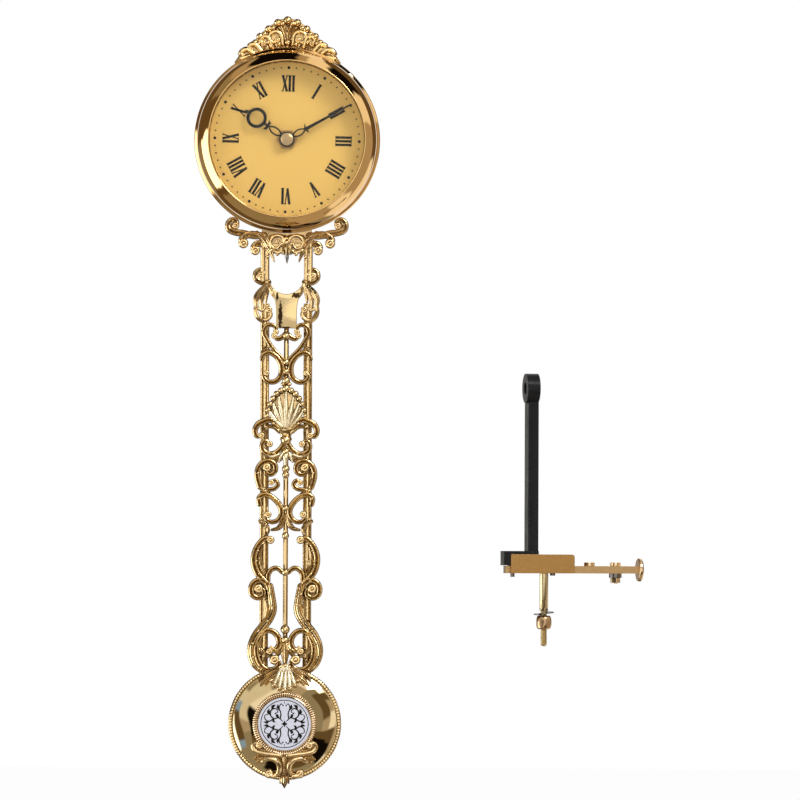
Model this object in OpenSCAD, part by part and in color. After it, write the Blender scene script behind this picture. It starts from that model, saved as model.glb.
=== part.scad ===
// Quartz pendulum clock movement that swings as one piece: a round head and an ornate cast rod with
// a bob stand on two needle points, and a small bracket with a driving magnet carries the needles.
// Millimetres. +Z is up and the dial faces -Y. The origin is on the swing axis, midway between the
// two needle points. The axis runs along Y.

/* [Layout] */
// Where the bracket is drawn: taken off and laid beside the clock, or in its working place
bracket_place = "beside"; // [beside, under_clock]
// Distance from the clock's centreline to the bracket that lies beside it
bracket_aside = 190; // [165:1:260]
// Drop of the bracket that lies beside the clock
bracket_drop = 180; // [0:1:220]
// Turn about the upright of the bracket that lies beside the clock
bracket_turn = 101; // [80:1:110]

/* [Head] */
// Outer diameter of the bezel
bezel_d = 111.6; // [100:0.2:135]
// Height of the lowest point of the bezel above the swing axis
head_gap = 18; // [16:0.5:24]
// Radial width of the bezel ring around the dial opening
bezel_band = 9.3; // [8:0.1:12]
// Depth of the bezel from its rear edge to its front edge
bezel_depth = 21; // [19:0.5:26]
// Thickness of the spun bezel wall
bezel_wall = 1.1; // [0.8:0.1:1.4]
// Thickness of the glass
glass_t = 2; // [1.5:0.1:3]
// Thickness of the dial plate
dial_t = 0.6; // [0.4:0.1:1]
// Thickness of the cast plate that carries the dial, drum and rod
plate_t = 3; // [2:0.1:4]
// Depth of the rear drum
drum_depth = 28; // [24:0.5:34]
// Wall of the rear drum
drum_wall = 0.9; // [0.6:0.1:1.4]
// Room for the hands between the dial and the glass
hand_space = 8; // [8:0.1:10]
// Height of the driving coil above the centre of the head
coil_rise = 31.4; // [28:0.1:33]

/* [Hands] */
// Angle of the minute hand, clockwise from twelve
minute_angle = 61.2; // [0:0.1:360]
// Angle of the hour hand, clockwise from twelve
hour_angle = 305.2; // [0:0.1:360]
// Reach of the minute hand from the centre
minute_reach = 43.8; // [30:0.1:44.5]
// Reach of the hour hand from the centre
hour_reach = 30.9; // [29:0.1:36]

/* [Movement] */
// Side of the square movement case
movement_w = 56; // [55:0.5:60]
// Depth of the movement case
movement_depth = 16; // [16:0.1:19]
// Wall of the movement case
case_wall = 1.2; // [0.8:0.1:1.4]
// Diameter of the threaded centre post
post_d = 7.9; // [7:0.1:9]
// Diameter of the battery cell
cell_d = 14.3; // [13.5:0.1:14.5]
// Length of the battery cell
cell_len = 50.2; // [48:0.1:50.5]
// Running clearance around each shaft, per side
running_fit = 0.05; // [0.02:0.01:0.1]

/* [Pendulum] */
// Distance from the swing axis down to the centre of the bob
bob_drop = 276; // [240:1:340]
// Outer diameter of the bob's rim
bob_d = 68; // [60:0.5:84]
// Height of the polished dome above its rim
dome_rise = 8; // [5:0.5:10]
// Sheet thickness of the bob's dome
dome_t = 0.8; // [0.5:0.1:1.2]
// Outer diameter of the medallion ring on the bob
medallion_d = 38.6; // [32:0.2:42]
// Thickness of the steel weight inside the bob
weight_t = 3; // [2:0.1:4]
// Distance between the centrelines of the two side rails
rail_gauge = 25.8; // [24:0.2:28]
// Width of each side rail
rail_w = 5.2; // [4:0.1:6]
// Diameter of the centre rod
centre_rod_d = 3; // [2:0.1:3.6]

/* [Needles] */
// Distance between the two needles, and between the two seats that carry them
needle_gauge = 16; // [14:0.5:20]
// Diameter of each needle
needle_d = 2.3; // [1.8:0.1:3]

/* [Bracket] */
// Width of the seat bar
bar_w = 6; // [5:0.1:7]
// Height of the seat bar
bar_h = 4.4; // [4:0.1:6]
// Length of the channel block
block_len = 39; // [36:0.5:46]
// Width of the channel block
block_w = 11; // [10:0.1:14]
// Air gap between the back cover's screws and the driving magnet
magnet_gap = 6.6; // [3:0.1:7]
// Diameter of the plain stud shank
stud_d = 5.2; // [4.5:0.1:6]
// Diameter of the stud's threaded end
thread_d = 4; // [3:0.1:4.4]
// Length of the stud below the block
stud_len = 43.6; // [40:0.5:55]
// Diameter of the end knob
knob_d = 13.9; // [11:0.1:16]

/* [Hidden] */

// Fineness of turned surfaces, of small round pieces and of curved strokes
round_fn = 96;
small_fn = 32;
ball_fn = 20;
fillet_fn = 8;
span_steps = 3;
// Half the width of the gaps between strokes that the castings and the rod's scrollwork close
blend_r = 0.3;
fillet_r = 0.4;
// Overshoot of a cut past the face it opens
past = 1;
// Seat clearance between pieces that are put together by hand
slip = 0.1;

// Heights and depths of the head. "f" is a distance forward, towards -Y, from the bezel's rear edge.
bezel_r = bezel_d / 2;
head_z = head_gap + bezel_r;
opening_r = bezel_r - bezel_band;
plate_r = bezel_r - bezel_wall - 0.3;
bezel_lip = 4;
glass_lip = 1;
glass_r = opening_r + glass_lip;
glass_front = bezel_depth - bezel_lip;
glass_back = glass_front - glass_t;
dial_front = glass_back - hand_space;
dial_back = dial_front - dial_t;
dial_r = glass_r - slip;
dial_rim_t = 3;
spacer_t = 0.9;
drum_r = bezel_r - 7.8;
flange_w = 2.2;
flange_t = 1.2;
drum_rear = plate_t + drum_depth;
cover_t = 1.2;
cover_lip = 0.8;
cover_open_x = 29;
cover_open_low = 30;
cover_open_high = coil_rise - 10.7;
screw_head_t = 1.2;
lug_r = 2.5;
lug_depth = 6;
lug_reach = drum_r - drum_wall - lug_r + 0.4;
lug_angles = [30, 150, 210, 330];

// The movement. Its own "f" levels are measured from the same plane as the head's.
gasket_t = 1;
movement_front = dial_back - gasket_t;
movement_rear = movement_front - movement_depth;
movement_half = movement_w / 2;
corner_r = 3;
inner_half = movement_half - case_wall;
inner_front = movement_front - case_wall;
cover_front = movement_rear + case_wall;
post_r = post_d / 2;
post_end = dial_front + 3.2;
nut_t = 2;
nut_across = 11;
arbor_r = 1.5;
tube_r = post_r - 1.4 - running_fit;
hand_hub_r = 4.5;
hour_level = post_end + 0.4;
hand_t = 0.5;
hour_boss_t = 0.9;
minute_level = hour_level + hour_boss_t + 0.5;
cap_r = 3.8;
cap_t = 1.5;
cell_bay_top = -movement_half + case_wall + cell_d + 0.3;
cell_y = -movement_half + case_wall + cell_d / 2 + 0.15;
cell_f = inner_front - cell_d / 2 - 0.15;

// Gear train: tip circles stand one tooth clearance apart on these centre distances
tip_gap = 0.15;
minute_pinion_r = 2.35;
motion_wheel_r = 7.2;
hour_wheel_r = 7.68;
motion_pinion_r = 1.87;
centre_wheel_r = 8.5;
third_pinion_r = 1.13;
third_wheel_r = 6.4;
second_pinion_r = 0.85;
second_wheel_r = 5;
rotor_pinion_r = 0.9;
rotor_r = 2.5;
knob_pinion_r = 2.35;
axle_r = 0.5;
motion_dist = minute_pinion_r + motion_wheel_r + tip_gap;
third_dist = centre_wheel_r + third_pinion_r + tip_gap;
second_dist = third_wheel_r + second_pinion_r + tip_gap;
rotor_dist = second_wheel_r + rotor_pinion_r + tip_gap;
knob_dist = motion_wheel_r + knob_pinion_r + tip_gap;
motion_at = motion_dist * [-cos(45), sin(45)];
third_at = third_dist * [cos(45), sin(45)];
second_at = third_at + [second_dist, 0];
rotor_at = second_at + [0, rotor_dist];
knob_at = motion_at + knob_dist * [-cos(53), -sin(53)];
coil_y = 22;

// The castings. y values here: the front layer lies ahead of the rails.
relief_front = -4;
rail_front = -1;
rail_back = 3;
yoke_back = plate_t + 2;
yoke_thick_low = -24;
boss_front = -12.5;
window_half = 10.4;
window_top = 6;
window_low = -18.6;
pillar_w = 5.4;
rail_x = rail_gauge / 2;
bob_r = bob_d / 2;
bob_z = -bob_drop;
// The scrollwork was laid out on this length and stretches with the rod
rod_drawn = 206;
rod_start = -36;
rod_len = bob_drop - bob_r + rod_start;
rod_stretch = rod_len / rod_drawn;

// The bob
back_t = 1.6;
bob_back_y = rail_front;
bob_face = bob_back_y - back_t;
rim_minor = 1.5;
rim_y = bob_face - rim_minor;
rim_major = bob_r - rim_minor;
dome_base_r = rim_major - rim_minor - 0.1;
dome_base_y = rim_y - 0.6;
dome_sphere_r = (dome_base_r * dome_base_r + dome_rise * dome_rise) / (2 * dome_rise);
medallion_r = medallion_d / 2;
ring_w = 2.8;
disc_r = medallion_r - ring_w;

// Needles and their block
needle_y = needle_gauge / 2;
needle_top = 10;
point_len = 3.2;
point_r = 0.15;
block_half_x = 3;
block_half_y = needle_y + 1.6;
block_low = 5.4;
block_high = 11.4;

// Bracket, in its own frame: needle points at the origin, bar along Y, rear towards +Y
seat_h = 2.2;
seat_r = 3.2;
cup_depth = 1.2;
cup_r = 2.2;
front_seat_tail = 6;
bar_top = cup_depth - seat_h;
bar_low = bar_top - bar_h;
magnet_rise = head_z + coil_rise;
ring_y = drum_rear + cover_t + screw_head_t + magnet_gap;
ring_r = 8.9;
ring_len = 7.6;
ring_hole = 3.6;
magnet_r = 7.2;
magnet_t = 4;
magnet_y = ring_y + ring_len / 2;
stud_y = magnet_y - 8;
bar_front = -needle_y - 13.6;
channel_rear = magnet_y + 13.3;
channel_front = channel_rear - block_len;
channel_top = bar_top + 6.9;
bar_rear = channel_rear + 2.9;
corner_cut = 1.8;
shank_len = 22.4;
washer_t = 2.9;
washer_r = 6.1;
washer_slot = 1;
stud_nut_h = 8.1;
stud_nut_across = 8.6;
spigot_r = 1.6;
arm_y = magnet_y - 3.7;
arm_depth = 6.6;
arm_w = 8;
arm_web_t = 1.4;
foot_t = 2;
hook_t = 4.2;
hook_low = bar_top + 0.3;
rear_screw_y = channel_rear - 2;
mid_screw_y = stud_y - 5.3;
sunk_head_r = 2.3;
sunk_head_t = 1.2;

// Facing frame: x stays, drawn y becomes up, and extrusion runs from the back to the front
module slab(front, back) {
    translate([0, back, 0])
        rotate([90, 0, 0])
            linear_extrude(back - front)
                children();
}

// A turned piece about the head's axis, drawn as [radius, distance forward]
module turned() {
    translate([0, 0, head_z])
        rotate([90, 0, 0])
            rotate_extrude($fn = round_fn)
                children();
}

// A piece of the head, drawn around its centre between two forward levels
module layer(low, high, at = [0, 0]) {
    translate([at[0], -low, head_z + at[1]])
        rotate([90, 0, 0])
            linear_extrude(high - low)
                children();
}

module on_bob() {
    translate([0, 0, bob_z])
        children();
}

// Both halves of a drawing that is mirrored about the centreline
module both() {
    children();
    mirror([1, 0, 0])
        children();
}

// Smooth curve through hand-set points
function ends(p) = concat([2 * p[0] - p[1]], p, [2 * p[len(p) - 1] - p[len(p) - 2]]);
function span_point(a, b, c, d, t) =
    (2 * b + (c - a) * t + (2 * a - 5 * b + 4 * c - d) * t * t + (3 * b - a - 3 * c + d) * t * t * t) / 2;
function curve(p) =
    let (q = ends(p))
    concat([for (i = [1 : len(q) - 3]) for (k = [0 : span_steps - 1])
                span_point(q[i - 1], q[i], q[i + 1], q[i + 2], k / span_steps)],
           [p[len(p) - 1]]);
function unit(v) = v / norm(v);
function heading(c, i) = unit(c[min(i + 1, len(c) - 1)] - c[max(i - 1, 0)]);
function side(v) = [-v[1], v[0]];
function width_at(w, t) = t < 0.5 ? w[0] + (w[1] - w[0]) * t * 2 : w[1] + (w[2] - w[1]) * (t * 2 - 1);

// One stroke of the ornament: [points, [root, middle and tip width], radius of the round end]
module stroke(s) {
    c = curve(s[0]);
    n = len(c) - 1;
    half = [for (i = [0 : n]) width_at(s[1], i / n) / 2];
    polygon(concat([for (i = [0 : n]) c[i] + half[i] * side(heading(c, i))],
                   [for (i = [n : -1 : 0]) c[i] - half[i] * side(heading(c, i))]));
    if (s[2] > 0)
        translate(c[n])
            circle(s[2], $fn = ball_fn);
}

module strokes(list) {
    both()
        for (s = list)
            stroke(s);
}

// Closes the narrow gaps between strokes, as a casting does
module blended() {
    offset(delta = -blend_r)
        offset(delta = blend_r)
            children();
}

// Closes wider gaps with small fillets, so that the rod's scrolls hold together
module filleted() {
    offset(r = -fillet_r, $fn = fillet_fn)
        offset(delta = fillet_r)
            children();
}

// Height of an ornament point once the rod is stretched to its length
function on_rod(z) = rod_start + (z - rod_start) * rod_stretch;
function stretched(list) = [for (s = list) [[for (p = s[0]) [p[0], on_rod(p[1])]], s[1], s[2]]];

// Ornament under the head, outwards from the centreline and up from the swing axis
APRON = [
    [[[15.5, 15.5], [21.5, 18.5], [26, 18.7], [30, 17.7], [34, 18.5], [35.7, 22], [34, 24.8], [31.2, 24]],
     [3, 2.4, 1.8], 1.6],
    [[[15.5, 12.6], [19.5, 15.8], [23.5, 17], [27.5, 15.8], [29, 13.4], [27, 12.4]], [3, 2.4, 2], 2.2],
    [[[13.5, 8.7], [17, 10.6], [20.5, 10], [22.6, 7.6], [20.4, 5.8]], [2.4, 2.4, 2], 2],
    [[[20, 19.5], [15.5, 14.5], [11, 8.2], [7.6, 3], [7.3, -1.2]], [2.4, 4.6, 1], 0]];
CENTRE_VOLUTE = [
    [[[4, 6], [9, 7], [10.5, 11.5], [8.2, 15], [4.6, 15.6], [1.9, 13.2], [2.8, 9.8], [5.5, 9.8]],
     [2.6, 2.4, 1.6], 1.8]];
EARS = [
    [[[11, -13], [15, -13], [19.3, -10.5], [19.5, -6.3], [16.5, -5], [14.4, -7.6]], [2.4, 2.4, 1.8], 1.8]];
LEAVES = [
    [[[11.6, -13.2], [16.3, -18.5], [18.8, -24], [19, -29.5], [17, -34], [13.5, -36.2]], [2.4, 3.4, 2.4], 0],
    [[[11.4, -13.5], [14.2, -19], [15.3, -25], [13.5, -30]], [2, 3, 1.8], 0],
    [[[10.2, -14.5], [11, -20.5], [12, -26]], [1.8, 2.4, 1.2], 0],
    [[[17.2, -29.5], [14.5, -34.5], [10.9, -35], [9, -32.4], [10.6, -29.7]], [2.2, 2.2, 1.6], 1.6],
    [[[10.4, -15.6], [8, -19], [5.5, -21.5], [4.3, -26]], [1.8, 3, 1.8], 0]];

// Ornament of the rod, from the top down
HEART = [
    [[[1.6, -58], [8, -51.3], [11.8, -45.5], [13.5, -41.7], [12.4, -38.4], [9.3, -37], [6.6, -38.4],
      [6.3, -41.4]], [1.8, 2.1, 1.6], 1.5],
    [[[0.4, -42.6], [2.8, -44.6], [5.5, -45.4], [7.3, -43.6]], [2.4, 2.2, 1.6], 1.5],
    [[[14.7, -57.5], [13.5, -54.9], [10.2, -53.7], [6, -56], [3.2, -60.2], [2.6, -64.8], [4.1, -69],
      [7.5, -71.3], [11.4, -70.8], [13.5, -68], [11.8, -66]], [1.8, 2.6, 1.6], 1.5],
    [[[14.5, -54], [12.5, -51], [10.2, -53]], [1.6, 1.6, 1.6], 0]];
PALMETTE = [
    [[[0, -98], [0.1, -87], [0, -77]], [1.2, 3, 2.4], 1.6],
    [[[1, -98], [3, -88], [4.6, -79]], [1.2, 2.7, 1.6], 1.6],
    [[[1.6, -98], [5.5, -90], [8.8, -82.5]], [1.2, 2.7, 1.6], 1.6],
    [[[2.2, -98.5], [7, -93], [11, -87.5]], [1.2, 2.4, 1.6], 1.5],
    [[[1, -75.5], [5.5, -77], [9, -80.5], [11, -85.5]], [2.4, 2.4, 1.8], 0],
    [[[2.6, -98.8], [6, -96], [10, -94], [13.5, -95], [17, -97], [18.6, -100.5], [17.4, -103.8],
      [14.6, -103.4]], [2.4, 2.8, 1.8], 1.6],
    [[[4, -101], [7, -98.5], [10.5, -98], [13.1, -100.5], [13.5, -105]], [1.8, 1.8, 1.8], 0],
    [[[0.8, -107.6], [3.2, -111.4], [6.5, -114], [10.4, -114.5], [13.6, -112.4], [14.3, -109],
      [12.4, -106.6], [9.7, -108.6]], [2.4, 2.4, 1.6], 1.6],
    [[[1.5, -115.5], [4.6, -117.6], [8.8, -117.4], [12.3, -115.4]], [2.4, 2.6, 1.2], 0]];
MIDDLE = [
    [[[15.4, -134.4], [17.1, -128.4], [16.7, -123.4], [14.2, -120], [10.4, -118.7], [6.8, -120.6],
      [6.2, -124.4], [9, -127], [11.2, -125.2]], [2.4, 2.4, 1.6], 1.8],
    [[[14, -137], [10.4, -136], [6.9, -135.3], [4.7, -132.9], [6.3, -130.4], [8.6, -131.6]],
     [1.8, 2, 1.6], 1.5],
    [[[14.4, -135], [9.7, -139], [5.5, -142.8], [3, -146.4]], [2.2, 2, 1.8], 0],
    [[[15.6, -144.6], [16, -141], [13.6, -139], [10, -139.4], [6, -142.2], [3, -146.4], [2.5, -150.6],
      [4.7, -154.2], [8.6, -155.3], [11.6, -153.3], [10.6, -150.8]], [2.2, 2.5, 1.6], 1.8],
    [[[0.8, -151.2], [2.1, -156], [4.5, -159], [8.1, -160]], [1.8, 2.4, 1.2], 0],
    [[[15.3, -154.8], [12.3, -157], [10.5, -160.2], [12, -163.8]], [1.8, 2.2, 1.2], 0]];
LYRE = [
    [[[11.6, -191.8], [14.8, -188.4], [17.6, -184.2], [18.9, -178.6], [18.3, -173.4], [16, -168.6],
      [12.4, -165.2], [9, -166]], [3, 2.7, 2.2], 2],
    [[[14.4, -170.5], [15.4, -176], [14.9, -181.2], [12.8, -186.6]], [1.2, 2.4, 1.8], 0],
    [[[10.4, -190.8], [10.1, -186.6], [8, -183.6], [4.8, -183], [1.8, -185.4]], [2, 2.2, 2], 0],
    [[[9.6, -195.6], [11, -191.8], [14.4, -190.2], [18.2, -191], [20.4, -194.4], [19.8, -198.8],
      [16.4, -201.2], [12.6, -199.8], [12, -196.6], [14.6, -194.8]], [2.4, 2.4, 1.6], 1.8],
    [[[9.3, -193.8], [8.1, -201], [7.5, -207.6], [9.5, -213], [13.6, -218.4], [17.6, -223.8],
      [20.1, -229.8], [20.2, -235.8], [17.8, -241.2], [13.6, -244.8]], [3, 4, 2.4], 0],
    [[[11.9, -202.2], [11, -207.6], [11.8, -212.4]], [1.2, 2.4, 1.2], 0],
    [[[14.2, -222.6], [16.8, -228.6], [17.1, -234], [15.6, -239.1], [12.6, -242.7], [8.7, -243.8],
      [5.1, -242.4], [3.9, -239.4], [6.3, -237.6]], [1.6, 1.8, 1.6], 1.8],
    [[[13.9, -222.3], [10.9, -220.3], [7, -221.1], [4.1, -224.4], [3.7, -228.6], [6, -231.9],
      [9.3, -232.8]], [2.2, 2.4, 1.8], 1.2],
    [[[0.7, -226.8], [2.5, -231.6], [5.2, -235.8]], [2.4, 2.4, 1.2], 0]];
// Round knots on the centreline, each [height, radius]
KNOTS = [[-43.5, 2.4], [-59.5, 1.9], [-65, 2.2], [-71.5, 2.9], [-106, 3.2], [-118.6, 3.3], [-124, 2.4],
         [-128, 2.2], [-147, 1.8], [-163.5, 2.2], [-185.4, 2], [-219.6, 2.8], [-226, 2.2]];

// Height of the rim of the cup under the palmette
cup_top = -99.5;

// Ornament on the bob, from the bob's centre
SHELL = [
    [[[0, 36], [0.1, 28.8], [0, 21.6]], [1.8, 3, 2.4], 1.9],
    [[[0.7, 36], [2.3, 28.8], [3.8, 22.8]], [1.2, 2.8, 2.2], 1.9],
    [[[1.3, 34.8], [4.3, 28.8], [6.6, 24.6]], [1.2, 2.4, 1.8], 1.5],
    [[[2.6, 32.4], [7.3, 28.8], [11.5, 25.8], [14.2, 23.1]], [2.4, 3.6, 1.2], 0],
    [[[3.8, 33], [9.2, 30.9], [13.7, 27.9]], [1.8, 3, 1.2], 0]];
FOOT = [
    [[[0, -22.8], [2.6, -20.7], [6.5, -20.1], [9.5, -22.5]], [2.4, 3, 1.8], 0],
    [[[2.6, -21], [3.4, -25], [3.2, -29.5], [7, -32.5]], [2.4, 3, 2.4], 2.3],
    [[[4, -20.1], [8.9, -18.9], [13.7, -18.9], [17.3, -17.4], [18.2, -14.6], [16, -13]],
     [2.4, 2.2, 1.6], 1.6],
    [[[7.7, -21], [11.9, -22.8], [14.6, -24.9]], [1.8, 3, 1.2], 0]];

// Ornament over the head, outwards from the centreline and up from the top of the bezel
CREST = [
    [[[0, -2], [0.1, 6], [0, 16.2]], [3, 4, 3], 2.8],
    [[[3, -2], [4.4, 5], [5.7, 13.6]], [3, 3.6, 3], 2.7],
    [[[5, -2], [8.2, 4], [11.6, 9.2]], [3, 3.6, 3], 2.5],
    [[[6.5, -2.4], [11.5, 1.6], [16, 5]], [3, 3.4, 3], 2.4],
    [[[8, 0.2], [15, 0], [22, -2.4], [29, -6.4]], [3, 3, 1.6], 0.8]];

// Head

module bezel_profile() {
    band_in = opening_r + 1.2;
    band_w = bezel_r - 1.9 - band_in;
    band_h = bezel_depth - 5.6;
    difference() {
        polygon(concat([[opening_r, 0], [bezel_r, 0], [bezel_r, 2.6], [bezel_r - 0.5, 3.9],
                        [bezel_r - 1.5, 4.4]],
                       [for (a = [0 : 10 : 80]) [band_in + band_w * cos(a), 5 + band_h * sin(a)]],
                       [[opening_r + 0.5, bezel_depth], [opening_r, bezel_depth - 0.5]]));
        polygon(concat([[opening_r - past, -past], [bezel_r - bezel_wall, -past],
                        [bezel_r - bezel_wall, 3.4]],
                       [for (a = [0 : 10 : 50]) [band_in + (band_w - bezel_wall) * cos(a),
                                                5 + (band_h - bezel_wall) * sin(a)]],
                       [[glass_r + running_fit, 5 + (band_h - bezel_wall) * sin(50)],
                        [glass_r + running_fit, glass_front], [opening_r - past, glass_front]]));
    }
}

module bezel() {
    color("goldenrod")
        turned()
            bezel_profile();
}

module glass() {
    color("lightcyan", 0.35)
        turned()
            translate([0, glass_back])
                square([glass_r, glass_t]);
}

module dial_spacer() {
    color("gold")
        turned()
            translate([opening_r - 0.3, dial_front])
                square([spacer_t, hand_space]);
}

module dial() {
    color("khaki")
        layer(dial_back, dial_front)
            difference() {
                circle(dial_r, $fn = round_fn);
                circle(post_r + slip, $fn = small_fn);
            }
}

// Place on the plate's rim, outside the drum, by its angle from straight down
function lap_point(a) = lap_mid_r * [sin(a), -cos(a)];
lap_mid_r = (drum_r + flange_w + plate_r) / 2;
lap_screw_r = 1.1;
yoke_lap_angle = 11;
crest_lap_angle = 176;

module lap_holes() {
    for (a = [yoke_lap_angle, -yoke_lap_angle, crest_lap_angle, -crest_lap_angle])
        layer(-yoke_back - past, past, lap_point(a))
            circle(lap_screw_r + running_fit, $fn = small_fn);
}

module head_plate() {
    color("peru")
        difference() {
            turned()
                polygon([[0, -plate_t], [plate_r, -plate_t], [plate_r, 0], [dial_r, 0],
                         [dial_r, dial_back], [dial_r - dial_rim_t, dial_back],
                         [dial_r - dial_rim_t, 0], [0, 0]]);
            layer(-plate_t - past, past)
                square(movement_w + 10 * slip, center = true);
            lap_holes();
        }
}

module drum() {
    color("darkgoldenrod")
        difference() {
            union() {
                turned()
                    polygon([[drum_r - drum_wall, -drum_rear], [drum_r, -drum_rear],
                             [drum_r, -plate_t - flange_t], [drum_r + flange_w, -plate_t - flange_t],
                             [drum_r + flange_w, -plate_t], [drum_r - drum_wall, -plate_t]]);
                for (a = lug_angles)
                    layer(-drum_rear, -drum_rear + lug_depth, lug_reach * [cos(a), sin(a)])
                        circle(lug_r, $fn = small_fn);
            }
            for (a = lug_angles)
                layer(-drum_rear - past, -drum_rear + lug_depth + past, lug_reach * [cos(a), sin(a)])
                    circle(lap_screw_r, $fn = small_fn);
        }
}

module back_cover() {
    color("saddlebrown")
        layer(-drum_rear - cover_t, -drum_rear)
            difference() {
                circle(drum_r + cover_lip, $fn = round_fn);
                translate([-cover_open_x, -cover_open_low])
                    square([2 * cover_open_x, cover_open_low + cover_open_high]);
                for (a = lug_angles)
                    translate(lug_reach * [cos(a), sin(a)])
                        circle(lap_screw_r, $fn = small_fn);
            }
}

// A slotted screw: its head spans f from seat - head to seat, its shank runs forward to tip
module rear_screw(seat, tip, at, shank_r = lap_screw_r - running_fit) {
    difference() {
        union() {
            layer(seat - screw_head_t, seat, at)
                circle(2 * shank_r, $fn = small_fn);
            layer(seat, tip, at)
                circle(shank_r, $fn = small_fn);
        }
        layer(seat - screw_head_t - past, seat - screw_head_t / 2, at)
            square([5 * shank_r, 0.5], center = true);
    }
}

module cover_screws() {
    color("silver")
        for (a = lug_angles)
            rear_screw(-drum_rear - cover_t, -drum_rear + 4, lug_reach * [cos(a), sin(a)]);
}

module bezel_room() {
    layer(-plate_t, bezel_depth + past)
        circle(bezel_r + slip, $fn = round_fn);
    layer(-yoke_back - past, -plate_t)
        circle(drum_r + flange_w + slip, $fn = round_fn);
}

crest_lug_w = 14;
crest_lug_deep = 6;

module crest_ornament() {
    color("gold")
        difference() {
            union() {
                slab(relief_front, yoke_back)
                    translate([0, head_gap + bezel_d])
                        blended()
                            strokes(CREST);
                slab(plate_t, yoke_back)
                    translate([-crest_lug_w / 2, head_gap + bezel_d - crest_lug_deep])
                        square([crest_lug_w, 1.5 * crest_lug_deep]);
            }
            bezel_room();
            lap_holes();
        }
}

// Yoke: apron, window and tongue, with the rod's rails behind its lower part

module window_outline() {
    translate([-window_half, window_low + window_half])
        square([2 * window_half, window_top - window_low - window_half]);
    translate([0, window_low + window_half])
        circle(window_half, $fn = round_fn);
}

module yoke_outline() {
    both() {
        translate([window_half, window_low + window_half])
            square([pillar_w, 21]);
        polygon([[0, 5], [16, 8], [21, 17], [20, 25.5], [0, 25.5]]);
    }
    translate([0, window_low + window_half])
        difference() {
            circle(window_half + 3, $fn = round_fn);
            translate([-2 * window_half, 0])
                square(4 * window_half);
        }
    polygon([[-8.5, -17], [8.5, -17], [6, -27], [6, -39.5], [-6, -39.5], [-6, -27]]);
    strokes(APRON);
    strokes(EARS);
    strokes(LEAVES);
}

module yoke_band(low, high) {
    blended()
        intersection() {
            difference() {
                yoke_outline();
                window_outline();
            }
            translate([-bezel_r, low])
                square([bezel_d, high - low]);
        }
}

module yoke_casting() {
    color("goldenrod")
        difference() {
            union() {
                slab(relief_front, rail_back + 2)
                    yoke_band(yoke_thick_low, bezel_r);
                slab(relief_front, rail_front)
                    yoke_band(rod_start - 5, yoke_thick_low);
                slab(boss_front, relief_front + past)
                    blended()
                        strokes(CENTRE_VOLUTE);
            }
            bezel_room();
            lap_holes();
            translate([-block_half_x - slip, -block_half_y - slip, block_low - slip])
                cube([2 * (block_half_x + slip), 2 * (block_half_y + slip),
                      block_high - block_low + 2 * slip]);
        }
}

module yoke_screws() {
    color("silver")
        for (a = [yoke_lap_angle, -yoke_lap_angle, crest_lap_angle, -crest_lap_angle])
            rear_screw(-yoke_back, -0.2, lap_point(a));
}

module needle_block() {
    color("darkkhaki")
        difference() {
            translate([-block_half_x, -block_half_y, block_low])
                cube([2 * block_half_x, 2 * block_half_y, block_high - block_low]);
            for (y = [-needle_y, needle_y])
                translate([0, y, block_low - past])
                    cylinder(r = needle_d / 2, h = needle_top - block_low + past, $fn = small_fn);
        }
}

module pivot_needles() {
    color("slategray")
        for (y = [-needle_y, needle_y])
            translate([0, y, 0]) {
                cylinder(r1 = point_r, r2 = needle_d / 2, h = point_len, $fn = small_fn);
                translate([0, 0, point_len])
                    cylinder(r = needle_d / 2, h = needle_top - point_len, $fn = small_fn);
            }
}

// Rod

rail_top = yoke_thick_low - slip;
rail_low = bob_z + bob_r - 14;
bob_screw_z = bob_z + bob_r - 8.5;
bob_screw_r = 1;

module bob_screw_holes() {
    for (x = [-rail_x, rail_x])
        translate([x, rail_back + past, bob_screw_z])
            rotate([90, 0, 0])
                cylinder(r = bob_screw_r + running_fit, h = rail_back - bob_face + 2 * past, $fn = small_fn);
}

module side_rails() {
    color("darkgoldenrod")
        difference() {
            for (x = [-rail_x, rail_x])
                translate([x, 0, rail_low])
                    linear_extrude(rail_top - rail_low)
                        difference() {
                            translate([-rail_w / 2, rail_front])
                                square([rail_w, rail_back - rail_front]);
                            translate([0, rail_front - 0.3])
                                circle(1, $fn = small_fn);
                        }
            bob_screw_holes();
        }
}

module rod_scrollwork() {
    color("gold")
        slab(relief_front, rail_front)
            filleted()
                difference() {
                    union() {
                        strokes(stretched(concat(HEART, PALMETTE, MIDDLE, LYRE)));
                        for (k = KNOTS)
                            translate([0, on_rod(k[0])])
                                circle(k[1], $fn = ball_fn);
                        translate([0, on_rod(cup_top)])
                            polygon([[-5.6, 0], [5.6, 0], [3, -7], [-3, -7]]);
                    }
                    offset(delta = slip)
                        yoke_outline();
                    translate([0, bob_z])
                        circle(bob_r + slip, $fn = round_fn);
                }
}

module centre_rod() {
    color("khaki")
        translate([0, rail_front + slip + centre_rod_d / 2, rail_low])
            cylinder(d = centre_rod_d, h = rail_top - rail_low, $fn = small_fn);
}

// Bob, drawn around its own centre with turned pieces as [radius, distance forward from y = 0]

module bob_turned() {
    on_bob()
        rotate([90, 0, 0])
            rotate_extrude($fn = round_fn)
                children();
}

module bob_back() {
    color("darkgoldenrod")
        difference() {
            bob_turned()
                translate([0, -bob_back_y])
                    square([rim_major, back_t]);
            bob_screw_holes();
        }
}

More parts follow.
